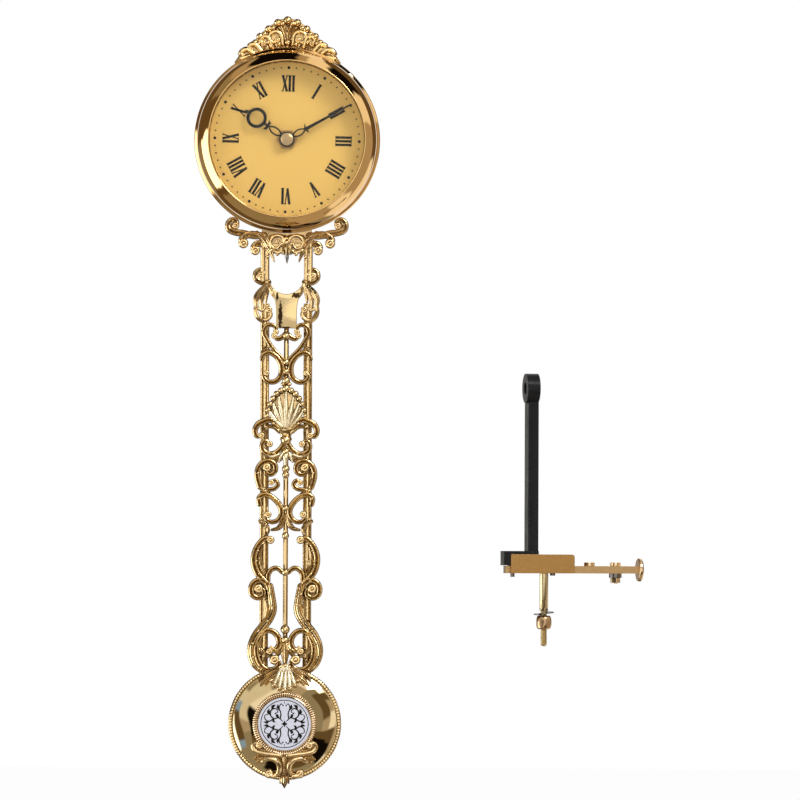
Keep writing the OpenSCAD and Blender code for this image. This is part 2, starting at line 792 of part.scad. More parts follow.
module bob_screws() {
    color("silver")
        for (x = [-rail_x, rail_x])
            translate([x, 0, bob_screw_z])
                rotate([90, 0, 0]) {
                    translate([0, 0, -rail_back - screw_head_t])
                        cylinder(r = 2 * bob_screw_r, h = screw_head_t, $fn = small_fn);
                    translate([0, 0, -rail_back])
                        cylinder(r = bob_screw_r, h = rail_back - bob_face, $fn = small_fn);
                }
}

module bob_weight() {
    color("dimgray")
        bob_turned()
            translate([0, -bob_face])
                square([disc_r + 2, weight_t]);
}

dome_centre_f = -dome_base_y + dome_rise - dome_sphere_r;
dome_hole_r = medallion_r - 0.8;
lip_f = dome_centre_f + sqrt(pow(dome_sphere_r, 2) - pow(dome_hole_r, 2)) + slip;
ledge_t = 0.8;
disc_t = 0.8;

module bob_dome() {
    color("gold")
        bob_turned() {
            intersection() {
                translate([0, dome_centre_f])
                    difference() {
                        circle(dome_sphere_r, $fn = round_fn);
                        circle(dome_sphere_r - dome_t, $fn = round_fn);
                    }
                translate([dome_hole_r, -dome_base_y])
                    square([dome_base_r - dome_hole_r, dome_rise + past]);
            }
            translate([dome_base_r - dome_t, -bob_face])
                square([dome_t, bob_face - dome_base_y + 0.2]);
        }
}

module bob_rim() {
    color("goldenrod")
        bob_turned()
            translate([rim_major, -rim_y])
                circle(rim_minor, $fn = small_fn);
}

module medallion_ring() {
    color("gold")
        bob_turned()
            polygon([[disc_r - 1.5, lip_f - 1.2], [dome_hole_r - slip, lip_f - 1.2],
                     [dome_hole_r - slip, lip_f], [medallion_r, lip_f], [medallion_r, lip_f + 0.8],
                     [medallion_r - 0.6, lip_f + 1.7], [disc_r + 0.7, lip_f + 1.7],
                     [disc_r, lip_f + 1], [disc_r, lip_f - 1.2 + ledge_t],
                     [disc_r - 1.5, lip_f - 1.2 + ledge_t]]);
}

module medallion_disc() {
    color("white")
        bob_turned()
            translate([0, lip_f - 1.2 + ledge_t])
                square([disc_r - running_fit, disc_t]);
}

// Room kept clear for the dome, in cones a little outside its sphere
module dome_room() {
    edge_angle = asin(dome_base_r / dome_sphere_r);
    bob_turned()
        polygon(concat([for (k = [0 : 5])
                            let (a = edge_angle * k / 5, r = (dome_sphere_r + slip) / cos(edge_angle / 10))
                            [r * sin(a), dome_centre_f + r * cos(a)]],
                       [[dome_base_r, 0], [0, 0]]));
}

module rim_room() {
    bob_turned()
        translate([dome_base_r - past, 0])
            square([bob_r + slip - dome_base_r + past, -rim_y + rim_minor + slip]);
}

module medallion_room() {
    bob_turned()
        square([medallion_r + slip, lip_f + 4]);
}

shell_front = -12;
foot_front = -11.5;
foot_back = -3;

module shell_ornament() {
    color("gold")
        difference() {
            on_bob()
                slab(shell_front, relief_front)
                    translate([0, bob_r - 34])
                        blended()
                            strokes(SHELL);
            dome_room();
            rim_room();
            medallion_room();
        }
}

module foot_ornament() {
    color("gold")
        difference() {
            on_bob()
                slab(foot_front, foot_back)
                    translate([0, 34 - bob_r])
                        blended() {
                            strokes(FOOT);
                            polygon([[-1.6, -24], [1.6, -24], [2.4, -33], [0, -39.4], [-2.4, -33]]);
                        }
            dome_room();
            rim_room();
            medallion_room();
        }
}

// Movement

module round_square(w, r) {
    square([w, w - 2 * r], center = true);
    square([w - 2 * r, w], center = true);
    for (x = [-1, 1])
        for (y = [-1, 1])
            translate((w / 2 - r) * [x, y])
                circle(r, $fn = small_fn);
}

divider_top = cell_bay_top + case_wall;

module movement_case() {
    color("dimgray") {
        difference() {
            layer(movement_rear, movement_front)
                round_square(movement_w, corner_r);
            layer(movement_rear - past, inner_front)
                translate([-inner_half, divider_top])
                    square([2 * inner_half, inner_half - divider_top]);
            layer(movement_rear - past, inner_front)
                translate([-inner_half, -inner_half])
                    square([2 * inner_half, inner_half + cell_bay_top]);
            layer(inner_front - past, movement_front + past)
                circle(tube_r + running_fit, $fn = small_fn);
        }
        layer(movement_front - case_wall / 2, post_end)
            difference() {
                circle(post_r, $fn = small_fn);
                circle(tube_r + running_fit, $fn = small_fn);
            }
    }
}

module movement_cover() {
    color("gray")
        layer(movement_rear, cover_front)
            difference() {
                translate([-inner_half + slip, divider_top + slip])
                    square([2 * (inner_half - slip), inner_half - divider_top - 2 * slip]);
                translate(knob_at)
                    circle(knob_stem_r + running_fit, $fn = small_fn);
            }
}

module gasket() {
    color("black")
        layer(movement_front, dial_back)
            difference() {
                circle(post_r + 4, $fn = small_fn);
                circle(post_r + slip, $fn = small_fn);
            }
}

module hexagon(across) {
    circle(across / 2 / cos(30), $fn = 6);
}

module post_nut() {
    color("gold")
        layer(dial_front, dial_front + nut_t)
            difference() {
                hexagon(nut_across);
                circle(post_r + running_fit, $fn = small_fn);
            }
}

board_t = 1;
board_x = -16.5;
crystal_r = 1.5;

module circuit_board() {
    color("seagreen") {
        layer(cover_front, cover_front + board_t)
            translate([-inner_half + 0.5, divider_top + 1])
                square([inner_half + board_x - 0.5, inner_half - divider_top - 4]);
        layer(cover_front + board_t, cover_front + board_t + 1.2, [board_x - 4, 2])
            square([4, 5], center = true);
    }
}

module quartz_crystal() {
    color("silver")
        translate([-inner_half + 4, -cover_front - board_t - crystal_r, head_z + 10])
            cylinder(r = crystal_r, h = 7.5, $fn = small_fn);
}

module battery() {
    color("darkorange")
        translate([-cell_len / 2, -cell_f, head_z + cell_y])
            rotate([0, 90, 0]) {
                cylinder(d = cell_d, h = cell_len - 1, $fn = round_fn);
                translate([0, 0, cell_len - 1])
                    cylinder(r = 2.7, h = 1, $fn = small_fn);
            }
}

module battery_contacts() {
    color("silver")
        for (m = [0, 1])
            mirror([m, 0, 0]) {
                layer(cell_f - 5, cell_f + 5, [inner_half - 0.25, cell_y])
                    square([0.4, 10], center = true);
                layer(cell_f - 1.5, cell_f + 1.5, [0, cell_y])
                    translate([cell_len / 2, -1.5])
                        square([inner_half - 0.4 - cell_len / 2, 3]);
            }
}

stator_t = 0.8;
stator_front = cover_front + stator_t;
coil_r = 3.4;
coil_half = 10;
coil_x = 8;

module stator() {
    color("lightsteelblue")
        layer(cover_front, stator_front)
            difference() {
                union() {
                    translate(rotor_at)
                        circle(rotor_r + 2.6, $fn = small_fn);
                    polygon([[9.5, 11], [-4.5, 20], [-4.5, 25], [0, 25], [1, 21.5], [12, 16.5]]);
                    polygon([[15.5, 16], [17.5, 22], [17.5, 25], [22, 25], [22, 19], [18.5, 12]]);
                }
                translate(rotor_at)
                    circle(rotor_r + 0.5, $fn = small_fn);
            }
}

module stepper_coil() {
    color("orangered") {
        translate([coil_x - coil_half, -stator_front - coil_r, head_z + coil_y])
            rotate([0, 90, 0])
                cylinder(r = coil_r - 0.2, h = 2 * coil_half, $fn = small_fn);
        for (x = [-coil_half, coil_half - 1])
            layer(stator_front, stator_front + 2 * coil_r, [coil_x + x, coil_y - coil_r])
                square([1, 2 * coil_r]);
    }
}

coil_len = 7;
coil_core_r = 4;
coil_outer_r = 9;
flange_r = 10;
flange_board_t = 1.5;

module coil_holder() {
    color("ivory") {
        layer(-drum_rear, -drum_rear + flange_board_t, [0, coil_rise])
            circle(flange_r, $fn = small_fn);
        layer(-drum_rear + flange_board_t, -drum_rear + flange_board_t + coil_len, [0, coil_rise])
            circle(coil_core_r, $fn = small_fn);
        layer(-drum_rear + flange_board_t + coil_len, -drum_rear + flange_board_t + coil_len + 1,
              [0, coil_rise])
            circle(flange_r, $fn = small_fn);
    }
}

module swing_coil() {
    color("chocolate")
        layer(-drum_rear + flange_board_t, -drum_rear + flange_board_t + coil_len, [0, coil_rise])
            difference() {
                circle(coil_outer_r, $fn = small_fn);
                circle(coil_core_r, $fn = small_fn);
            }
}

module swing_board() {
    color("seagreen") {
        layer(-drum_rear, -drum_rear + board_t, [13, coil_rise - 9])
            square([18, 10]);
        layer(-drum_rear + board_t, -drum_rear + board_t + 1.5, [20, coil_rise - 6])
            square([6, 4]);
    }
}

// Gear train. A wheel is drawn by its tip radius and its number of teeth.

module gear(tip, teeth) {
    polygon([for (i = [0 : teeth - 1]) for (k = [0 : 3])
                let (a = (i + [0, 0.2, 0.4, 0.6][k]) * 360 / teeth, r = (k == 1 || k == 2) ? tip : tip - 0.4)
                r * [cos(a), sin(a)]]);
}

axle_low = cover_front + running_fit;
axle_high = inner_front - running_fit;

module axle(at) {
    layer(axle_low, axle_high, at)
        circle(axle_r, $fn = small_fn);
}

module wheel(tip, teeth, low, t, at) {
    layer(low, low + t, at)
        gear(tip, teeth);
}

centre_level = inner_front - 5.8;
pinion_level = inner_front - 3.2;
hour_wheel_level = inner_front - 1.6;
third_level = centre_level - 2.4;
second_level = third_level - 2.2;
wheel_t = 0.8;

module centre_wheel() {
    color("gold") {
        layer(axle_low, centre_level)
            circle(axle_r + 0.3, $fn = small_fn);
        wheel(centre_wheel_r, 60, centre_level, wheel_t, [0, 0]);
        layer(centre_level + wheel_t, pinion_level)
            circle(arbor_r, $fn = small_fn);
        wheel(minute_pinion_r, 12, pinion_level, 1.2, [0, 0]);
        layer(pinion_level + 1.2, minute_level + hand_t + 0.8)
            circle(arbor_r, $fn = small_fn);
    }
}

module motion_wheel() {
    color("ivory") {
        axle(motion_at);
        wheel(motion_wheel_r, 36, pinion_level, 1, motion_at);
        wheel(motion_pinion_r, 10, pinion_level + 1, 1.5, motion_at);
    }
}

module third_wheel() {
    color("gold") {
        axle(third_at);
        wheel(third_wheel_r, 64, third_level, wheel_t, third_at);
        wheel(third_pinion_r, 8, centre_level - 0.2, wheel_t + 0.4, third_at);
    }
}

module second_wheel() {
    color("gold") {
        axle(second_at);
        wheel(second_wheel_r, 60, second_level, wheel_t, second_at);
        wheel(second_pinion_r, 8, third_level - 0.2, wheel_t + 0.4, second_at);
    }
}

module rotor() {
    color("darkred") {
        axle(rotor_at);
        layer(cover_front + 0.2, cover_front + 2.4, rotor_at)
            circle(rotor_r, $fn = small_fn);
        wheel(rotor_pinion_r, 8, second_level - 0.2, wheel_t + 0.4, rotor_at);
    }
}

module hour_wheel() {
    color("ivory")
        difference() {
            union() {
                wheel(hour_wheel_r, 40, hour_wheel_level, wheel_t, [0, 0]);
                layer(hour_wheel_level, hour_level + hour_boss_t)
                    circle(tube_r, $fn = small_fn);
            }
            layer(hour_wheel_level - past, hour_level + hour_boss_t + past)
                circle(arbor_r + running_fit, $fn = small_fn);
        }
}

knob_stem_r = 1.2;
knob_r = 5;
knob_t = 3.4;

module setting_knob() {
    color("darkslategray") {
        wheel(knob_pinion_r, 12, pinion_level, 1, knob_at);
        layer(movement_rear - 0.5, axle_high, knob_at)
            circle(knob_stem_r, $fn = small_fn);
        wheel(knob_r, 24, movement_rear - 0.5 - knob_t, knob_t, knob_at);
    }
}

// Hands, drawn pointing to twelve

// A loop between two heights, with pointed ends
module lens_loop(low, high, half_w, line) {
    h = (high - low) / 2;
    r = (h * h + half_w * half_w) / (2 * half_w);
    translate([0, (low + high) / 2])
        difference() {
            intersection_for (m = [-1, 1])
                translate([m * (r - half_w), 0])
                    circle(r, $fn = round_fn);
            intersection_for (m = [-1, 1])
                translate([m * (r - half_w), 0])
                    circle(r - line, $fn = round_fn);
        }
}

module hour_hand() {
    ring_at = hour_reach - 8.6;
    bar_at = ring_at - 8.6;
    color("black") {
        layer(hour_level, hour_level + hand_t)
            difference() {
                rotate(-hour_angle) {
                    circle(hand_hub_r, $fn = small_fn);
                    lens_loop(3.5, bar_at, 2.3, 0.8);
                    polygon([[-3.2, bar_at + 1.6], [-2.2, bar_at - 0.5], [0, bar_at - 0.2],
                             [2.2, bar_at - 0.5], [3.2, bar_at + 1.6], [0, bar_at + 0.8]]);
                    translate([-0.7, bar_at])
                        square([1.4, ring_at - bar_at - 4.6]);
                    translate([0, ring_at])
                        difference() {
                            circle(6.05, $fn = round_fn);
                            circle(4.3, $fn = round_fn);
                        }
                    polygon([[-1.3, ring_at + 5.6], [1.3, ring_at + 5.6], [0, hour_reach]]);
                }
                circle(tube_r, $fn = small_fn);
            }
        layer(hour_level + hand_t, hour_level + hour_boss_t)
            difference() {
                circle(hand_hub_r - 0.6, $fn = small_fn);
                circle(tube_r, $fn = small_fn);
            }
    }
}

module minute_hand() {
    bar_at = 12.8;
    color("black")
        layer(minute_level, minute_level + hand_t)
            difference() {
                rotate(-minute_angle) {
                    circle(hand_hub_r, $fn = small_fn);
                    lens_loop(3.5, bar_at, 2.1, 0.7);
                    polygon([[-3.2, bar_at + 0.9], [-1, bar_at - 0.5], [1, bar_at - 0.5],
                             [3.2, bar_at + 0.9], [0.8, bar_at + 0.7], [-0.8, bar_at + 0.7]]);
                    polygon([[-0.9, bar_at], [0.9, bar_at], [0.35, minute_reach], [-0.35, minute_reach]]);
                }
                circle(arbor_r, $fn = small_fn);
            }
}

module hand_cap() {
    color("goldenrod")
        difference() {
            layer(minute_level + hand_t, minute_level + hand_t + cap_t)
                circle(cap_r, $fn = small_fn);
            layer(minute_level, minute_level + hand_t + 0.8)
                circle(arbor_r, $fn = small_fn);
        }
}

// Bracket

module in_bracket() {
    if (bracket_place == "beside")
        translate([bracket_aside, 0, -bracket_drop])
            rotate([0, 0, bracket_turn])
                children();
    else
        children();
}

// Extrudes a drawing of [y, z] symmetrically across x
module across(w) {
    translate([-w / 2, 0, 0])
        rotate([90, 0, 90])
            linear_extrude(w)
                children();
}

module upright(r, low, high, y) {
    translate([0, y, low])
        cylinder(r = r, h = high - low, $fn = small_fn);
}

module along_y(r, from, to, z) {
    translate([0, to, z])
        rotate([90, 0, 0])
            cylinder(r = r, h = to - from, $fn = small_fn);
}

seat_screw_r = 1.5;
rear_screw_r = 1.3;
mid_screw_r = 1.6;
rear_screw_tail = 2.2;
mid_screw_tail = 1.4;
spigot_len = 8;
end_knob_t = 2.8;
bar_mid = (bar_top + bar_low) / 2;

module seat_bar() {
    color("darkkhaki")
        in_bracket()
            difference() {
                translate([-bar_w / 2, bar_front, bar_low])
                    cube([bar_w, bar_rear - bar_front, bar_h]);
                for (y = [-needle_y, needle_y])
                    upright(seat_screw_r, bar_low - past, bar_top + past, y);
                upright(rear_screw_r, bar_low - past, bar_top + past, rear_screw_y);
                upright(mid_screw_r, bar_low - past, bar_top + past, mid_screw_y);
                upright(spigot_r, bar_low - past, bar_top + past, stud_y);
                along_y(spigot_r, bar_front - past, bar_front + spigot_len, bar_mid);
            }
}

module needle_seats() {
    color("steelblue")
        in_bracket()
            for (y = [-needle_y, needle_y])
                difference() {
                    union() {
                        upright(seat_r, bar_top, bar_top + seat_h, y);
                        upright(seat_screw_r, y < 0 ? bar_low - front_seat_tail : bar_low, bar_top, y);
                    }
                    translate([0, y, bar_top + seat_h - cup_depth])
                        cylinder(r1 = 2 * point_r, r2 = cup_r, h = cup_depth, $fn = small_fn);
                    upright(cup_r, bar_top + seat_h, bar_top + seat_h + past, y);
                }
}

seat_washer_t = 2.6;
seat_washer_r = 3.85;
seat_nut_h = 3;
seat_nut_across = 5.5;

module seat_washer() {
    color("silver")
        in_bracket()
            difference() {
                upright(seat_washer_r, bar_low - seat_washer_t, bar_low, -needle_y);
                upright(seat_screw_r, bar_low - seat_washer_t - past, bar_low + past, -needle_y);
            }
}

module seat_nut() {
    color("goldenrod")
        in_bracket()
            translate([0, -needle_y, bar_low - seat_washer_t - seat_nut_h])
                linear_extrude(seat_nut_h)
                    difference() {
                        hexagon(seat_nut_across);
                        circle(seat_screw_r, $fn = small_fn);
                    }
}

module channel_block() {
    color("gold")
        in_bracket()
            difference() {
                across(block_w)
                    difference() {
                        translate([channel_front, bar_low])
                            square([block_len, channel_top - bar_low]);
                        translate([channel_front, channel_top - corner_cut])
                            difference() {
                                square(corner_cut);
                                translate([corner_cut, 0])
                                    circle(corner_cut, $fn = small_fn);
                            }
                    }
                translate([-bar_w / 2 - slip, channel_front - past, bar_low - past])
                    cube([bar_w + 2 * slip, block_len + 2 * past, bar_h + past + slip]);
                upright(rear_screw_r, bar_low - past, channel_top + past, rear_screw_y);
                upright(mid_screw_r, bar_low - past, channel_top + past, mid_screw_y);
            }
}

module block_screws() {
    color("silver")
        in_bracket() {
            upright(rear_screw_r, bar_low - rear_screw_tail, channel_top + foot_t, rear_screw_y);
            upright(sunk_head_r, channel_top + foot_t - sunk_head_t, channel_top + foot_t, rear_screw_y);
            upright(mid_screw_r, bar_low - mid_screw_tail, channel_top, mid_screw_y);
        }
}

module magnet_arm() {
    color("black")
        in_bracket()
            difference() {
                union() {
                    across(block_w) {
                        translate([arm_y, channel_top])
                            square([channel_rear + hook_t - arm_y, foot_t]);
                        translate([channel_rear, hook_low])
                            square([hook_t, channel_top + foot_t - hook_low]);
                    }
                    across(arm_w)
                        translate([arm_y, channel_top])
                            square([arm_depth, magnet_rise - channel_top]);
                    across(block_w)
                        translate([arm_y + arm_depth - arm_web_t, channel_top])
                            square([arm_web_t, magnet_rise - ring_r - channel_top]);
                    along_y(ring_r, ring_y, ring_y + ring_len, magnet_rise);
                }
                along_y(ring_hole, ring_y - past, ring_y + ring_len + past, magnet_rise);
                along_y(magnet_r + running_fit, ring_y - past, ring_y + magnet_t, magnet_rise);
                upright(rear_screw_r, channel_top - past, channel_top + foot_t + past, rear_screw_y);
                upright(sunk_head_r, channel_top + foot_t - sunk_head_t, channel_top + foot_t + past,
                        rear_screw_y);
            }
}

module ring_magnet() {
    color("gray")
        in_bracket()
            difference() {
                along_y(magnet_r, ring_y, ring_y + magnet_t, magnet_rise);
                along_y(ring_hole, ring_y - past, ring_y + magnet_t + past, magnet_rise);
            }
}

shank_low = bar_low - shank_len;

module stud() {
    color("goldenrod")
        in_bracket() {
            upright(spigot_r, bar_low, bar_top, stud_y);
            upright(stud_d / 2, shank_low, bar_low, stud_y);
            upright(thread_d / 2, bar_low - stud_len, shank_low, stud_y);
        }
}

module split_washer() {
    color("silver")
        in_bracket()
            difference() {
                upright(washer_r, shank_low - washer_t, shank_low, stud_y);
                upright(thread_d / 2 + running_fit, shank_low - washer_t - past, shank_low + past, stud_y);
                translate([0, stud_y - washer_slot / 2, shank_low - washer_t - past])
                    cube([washer_r + past, washer_slot, washer_t + 2 * past]);
            }
}

module stud_nut() {
    color("goldenrod")
        in_bracket()
            translate([0, stud_y, shank_low - washer_t - stud_nut_h])
                linear_extrude(stud_nut_h)
                    difference() {
                        hexagon(stud_nut_across);
                        circle(thread_d / 2 + running_fit, $fn = small_fn);
                    }
}

module end_knob() {
    color("gold")
        in_bracket() {
            translate([0, bar_front, bar_mid])
                rotate([90, 0, 0])
                    rotate_extrude($fn = round_fn)
                        polygon([[0, 0], [knob_d / 2 - 0.4, 0], [knob_d / 2, 0.5],
                                 [knob_d / 2, end_knob_t - 1], [knob_d / 2 - 0.8, end_knob_t - 0.2],
                                 [knob_d / 2 - 1.6, end_knob_t], [0, end_knob_t]]);
            along_y(spigot_r, bar_front, bar_front + spigot_len, bar_mid);
        }
}

bezel();
glass();
dial_spacer();
dial();
head_plate();
drum();
back_cover();
cover_screws();
crest_ornament();
yoke_casting();
yoke_screws();
needle_block();
pivot_needles();
side_rails();
rod_scrollwork();
centre_rod();
bob_back();
bob_screws();
bob_weight();
bob_dome();
bob_rim();
medallion_ring();
medallion_disc();
shell_ornament();
foot_ornament();
movement_case();
movement_cover();
gasket();
post_nut();
circuit_board();
quartz_crystal();
battery();
battery_contacts();
stepper_coil();
stator();
swing_coil();
coil_holder();
swing_board();
centre_wheel();
minute_hand();
hand_cap();
hour_wheel();
hour_hand();
motion_wheel();
third_wheel();
second_wheel();
rotor();
setting_knob();
seat_bar();
needle_seats();
seat_washer();
seat_nut();
channel_block();
block_screws();
magnet_arm();
ring_magnet();
stud();
split_washer();
stud_nut();
end_knob();
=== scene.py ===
"""Studio model of a quartz pendulum clock movement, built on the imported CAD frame."""
import logging
import math
from contextlib import contextmanager
from dataclasses import dataclass, field
from enum import Enum
from itertools import pairwise
from typing import Iterator, Sequence

import bpy
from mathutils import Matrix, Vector


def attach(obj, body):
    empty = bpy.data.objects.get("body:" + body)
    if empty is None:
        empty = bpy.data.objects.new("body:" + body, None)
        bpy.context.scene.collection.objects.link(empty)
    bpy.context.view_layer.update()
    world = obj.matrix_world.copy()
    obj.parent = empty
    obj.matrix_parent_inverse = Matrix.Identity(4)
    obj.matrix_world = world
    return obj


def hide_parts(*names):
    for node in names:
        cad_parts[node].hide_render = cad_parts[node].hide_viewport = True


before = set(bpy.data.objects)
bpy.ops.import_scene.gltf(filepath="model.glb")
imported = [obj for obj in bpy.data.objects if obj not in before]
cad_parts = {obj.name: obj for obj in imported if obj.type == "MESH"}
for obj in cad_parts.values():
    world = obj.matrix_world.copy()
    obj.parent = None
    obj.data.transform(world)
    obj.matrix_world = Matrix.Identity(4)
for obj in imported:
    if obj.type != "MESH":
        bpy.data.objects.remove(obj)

Point = tuple[float, float]
Colour = tuple[float, float, float]
MM = 0.001
LOG = logging.getLogger("pendulum_clock")
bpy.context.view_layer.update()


class Body(str, Enum):
    """CAD bodies that the pieces ride on."""

    BRACKET = "bracket"
    NUT = "stud_nut"
    CLOCK = "clock"
    MINUTE = "minute"
    HOUR = "hour"
    KNOB = "knob"


class Section(Enum):
    """Cross-sections of the relief for a half width of one, from the left foot to the right foot."""

    ROUND = ((-1, -0.9), (-1, 0), (-0.93, 0.36), (-0.79, 0.6), (-0.58, 0.79), (-0.3, 0.91), (0, 0.95),
             (0.3, 0.91), (0.58, 0.79), (0.79, 0.6), (0.93, 0.36), (1, 0), (1, -0.9))
    GROOVED = ((-1, -0.9), (-1, 0.1), (-0.9, 0.5), (-0.72, 0.8), (-0.48, 0.86), (-0.24, 0.58),
               (0, 0.2), (0.24, 0.58), (0.48, 0.86), (0.72, 0.8), (0.9, 0.5), (1, 0.1), (1, -0.9))
    LEAF = ((-1, -0.8), (-1, -0.02), (-0.86, 0.34), (-0.66, 0.46), (-0.48, 0.26), (-0.3, 0.6),
            (-0.12, 0.7), (0, 0.42), (0.12, 0.7), (0.3, 0.6), (0.48, 0.26), (0.66, 0.46),
            (0.86, 0.34), (1, -0.02), (1, -0.8))
    RAIL = ((-1, -0.6), (-1, 0.22), (-0.93, 0.46), (-0.76, 0.6), (-0.58, 0.46), (-0.5, 0.22),
            (-0.4, 0.34), (0, 0.5), (0.4, 0.34), (0.5, 0.22), (0.58, 0.46), (0.76, 0.6),
            (0.93, 0.46), (1, 0.22), (1, -0.6))
    FLAT = ((-1, 0), (-1, 0.05), (1, 0.05), (1, 0))


@dataclass(frozen=True)
class Stroke:
    """One stroke of the ornament, drawn on a plane.

    Attributes:
        points: Places that the stroke passes through, in millimetres.
        widths: Width at the root, the middle and the tip.
        ball: Radius of the ball at the tip, or zero for a plain tip.
    """

    points: tuple[Point, ...]
    widths: tuple[float, float, float]
    ball: float = 0.0


# Shared mesh work


def activate(*objects: bpy.types.Object) -> None:
    """Selects only these objects and makes the first one active."""
    bpy.ops.object.select_all(action="DESELECT")
    for obj in objects:
        obj.select_set(True)
    bpy.context.view_layer.objects.active = objects[0]


@contextmanager
def editing(obj: bpy.types.Object) -> Iterator[None]:
    """Edit mode on one object with everything selected.

    Args:
        obj: The mesh object to edit.
    """
    activate(obj)
    bpy.ops.object.mode_set(mode="EDIT")
    bpy.ops.mesh.select_all(action="SELECT")
    yield
    bpy.ops.object.mode_set(mode="OBJECT")


def cleaned(obj: bpy.types.Object, smooth: float = 35.0, merge: float = 2e-6) -> bpy.types.Object:
    """Merges doubled points, turns all faces outwards and smooths below an angle.

    Args:
        obj: The piece to finish.
        smooth: Angle in degrees up to which edges are shaded smooth.
        merge: Distance below which points are one.

    Returns:
        The same object.
    """
    with editing(obj):
        bpy.ops.mesh.remove_doubles(threshold=merge)
        bpy.ops.mesh.normals_make_consistent(inside=False)
    activate(obj)
    bpy.ops.object.shade_smooth_by_angle(angle=math.radians(smooth))
    return obj


def baked(obj: bpy.types.Object) -> bpy.types.Object:
    """Puts an object's place, turn and scale into its mesh."""
    activate(obj)
    bpy.ops.object.transform_apply(location=True, rotation=True, scale=True)
    return obj


def faced(obj: bpy.types.Object, at: tuple[float, float, float] = (0, 0, 0)) -> bpy.types.Object:
    """Stands a piece drawn flat, with z forward, up to face the reader of the dial.

    Args:
        obj: A piece drawn in x and y.
        at: Where its origin goes in the row frame, in millimetres.

    Returns:
        The same object, with its place in its mesh.
    """
    obj.rotation_euler = (math.pi / 2, 0, 0)
    obj.location = Vector(at) * MM
    return baked(obj)


def joined(name: str, parts: Sequence[bpy.types.Object]) -> bpy.types.Object:
    """Joins objects into one named piece."""
    activate(*parts)
    if len(parts) > 1:
        bpy.ops.object.join()
    obj = bpy.context.object
    obj.name = obj.data.name = name
    return obj


def modified(obj: bpy.types.Object, kind: str, **settings: object) -> bpy.types.Object:
    """Adds a modifier, sets it and applies it.

    Args:
        obj: The piece.
        kind: Blender's name for the modifier's type.
        settings: Values for the modifier's own properties.

    Returns:
        The same object.
    """
    activate(obj)
    bpy.ops.object.modifier_add(type=kind)
    modifier = obj.modifiers[-1]
    for key, value in settings.items():
        setattr(modifier, key, value)
    bpy.ops.object.modifier_apply(modifier=modifier.name)
    return obj


def turned(name: str, profile: Sequence[Point], segments: int = 128, closed: bool = False,
           smooth: float = 35.0) -> bpy.types.Object:
    """A turned piece, drawn ring by ring along its axis.

    Args:
        name: Name of the new object.
        profile: Radius and height of each ring, in millimetres.
        segments: Points round each ring.
        closed: Whether the last ring joins the first; if not, both ends are filled.
        smooth: Angle up to which edges are shaded smooth.

    Returns:
        The piece, with its axis on z.
    """
    rings = [*profile, profile[0]] if closed else list(profile)
    radius, height = rings[0]
    bpy.ops.object.select_all(action="DESELECT")
    bpy.ops.mesh.primitive_circle_add(vertices=segments, radius=radius * MM)
    obj = bpy.context.object
    obj.name = obj.data.name = name
    with editing(obj):
        bpy.ops.transform.translate(value=(0, 0, height * MM))
        for (r0, h0), (r1, h1) in pairwise(rings):
            bpy.ops.mesh.extrude_edges_move(TRANSFORM_OT_translate={"value": (0, 0, (h1 - h0) * MM)})
            bpy.ops.transform.resize(value=(r1 / r0, r1 / r0, 1), center_override=(0, 0, 0))
        if not closed:
            bpy.ops.mesh.select_all(action="SELECT")
            bpy.ops.mesh.fill_holes(sides=0)
    return cleaned(obj, smooth)


def arc(centre: Point, radii: Point, start: float, end: float, steps: int) -> list[Point]:
    """Points along part of an ellipse.

    Args:
        centre: Centre of the ellipse.
        radii: Half axes along the first and the second coordinate.
        start: First angle in degrees.
        end: Last angle in degrees.
        steps: Number of chords.

    Returns:
        The points, both ends included.
    """
    angles = [math.radians(start + (end - start) * k / steps) for k in range(steps + 1)]
    return [(centre[0] + radii[0] * math.cos(a), centre[1] + radii[1] * math.sin(a)) for a in angles]


def smooth_path(points: Sequence[Point], steps: int) -> list[Point]:
    """A smooth curve through given points.

    Args:
        points: Places that the curve passes through.
        steps: Chords between two of them.

    Returns:
        Points along the curve.
    """
    first, last = Vector(points[0]), Vector(points[-1])
    knots = [2 * first - Vector(points[1]), *map(Vector, points), 2 * last - Vector(points[-2])]
    path = []
    for a, b, c, d in zip(knots, knots[1:], knots[2:], knots[3:]):
        for k in range(steps):
            t = k / steps
            path.append((2 * b + (c - a) * t + (2 * a - 5 * b + 4 * c - d) * t * t
                         + (3 * b - a - 3 * c + d) * t ** 3) / 2)
    path.append(last)
    return [tuple(p) for p in path]


def half_width(widths: tuple[float, float, float], t: float) -> float:
    """Half the width of a stroke at a share t of its length."""
    root, middle, tip = widths
    width = root + (middle - root) * 2 * t if t < 0.5 else middle + (tip - middle) * (2 * t - 1)
    return width / 2


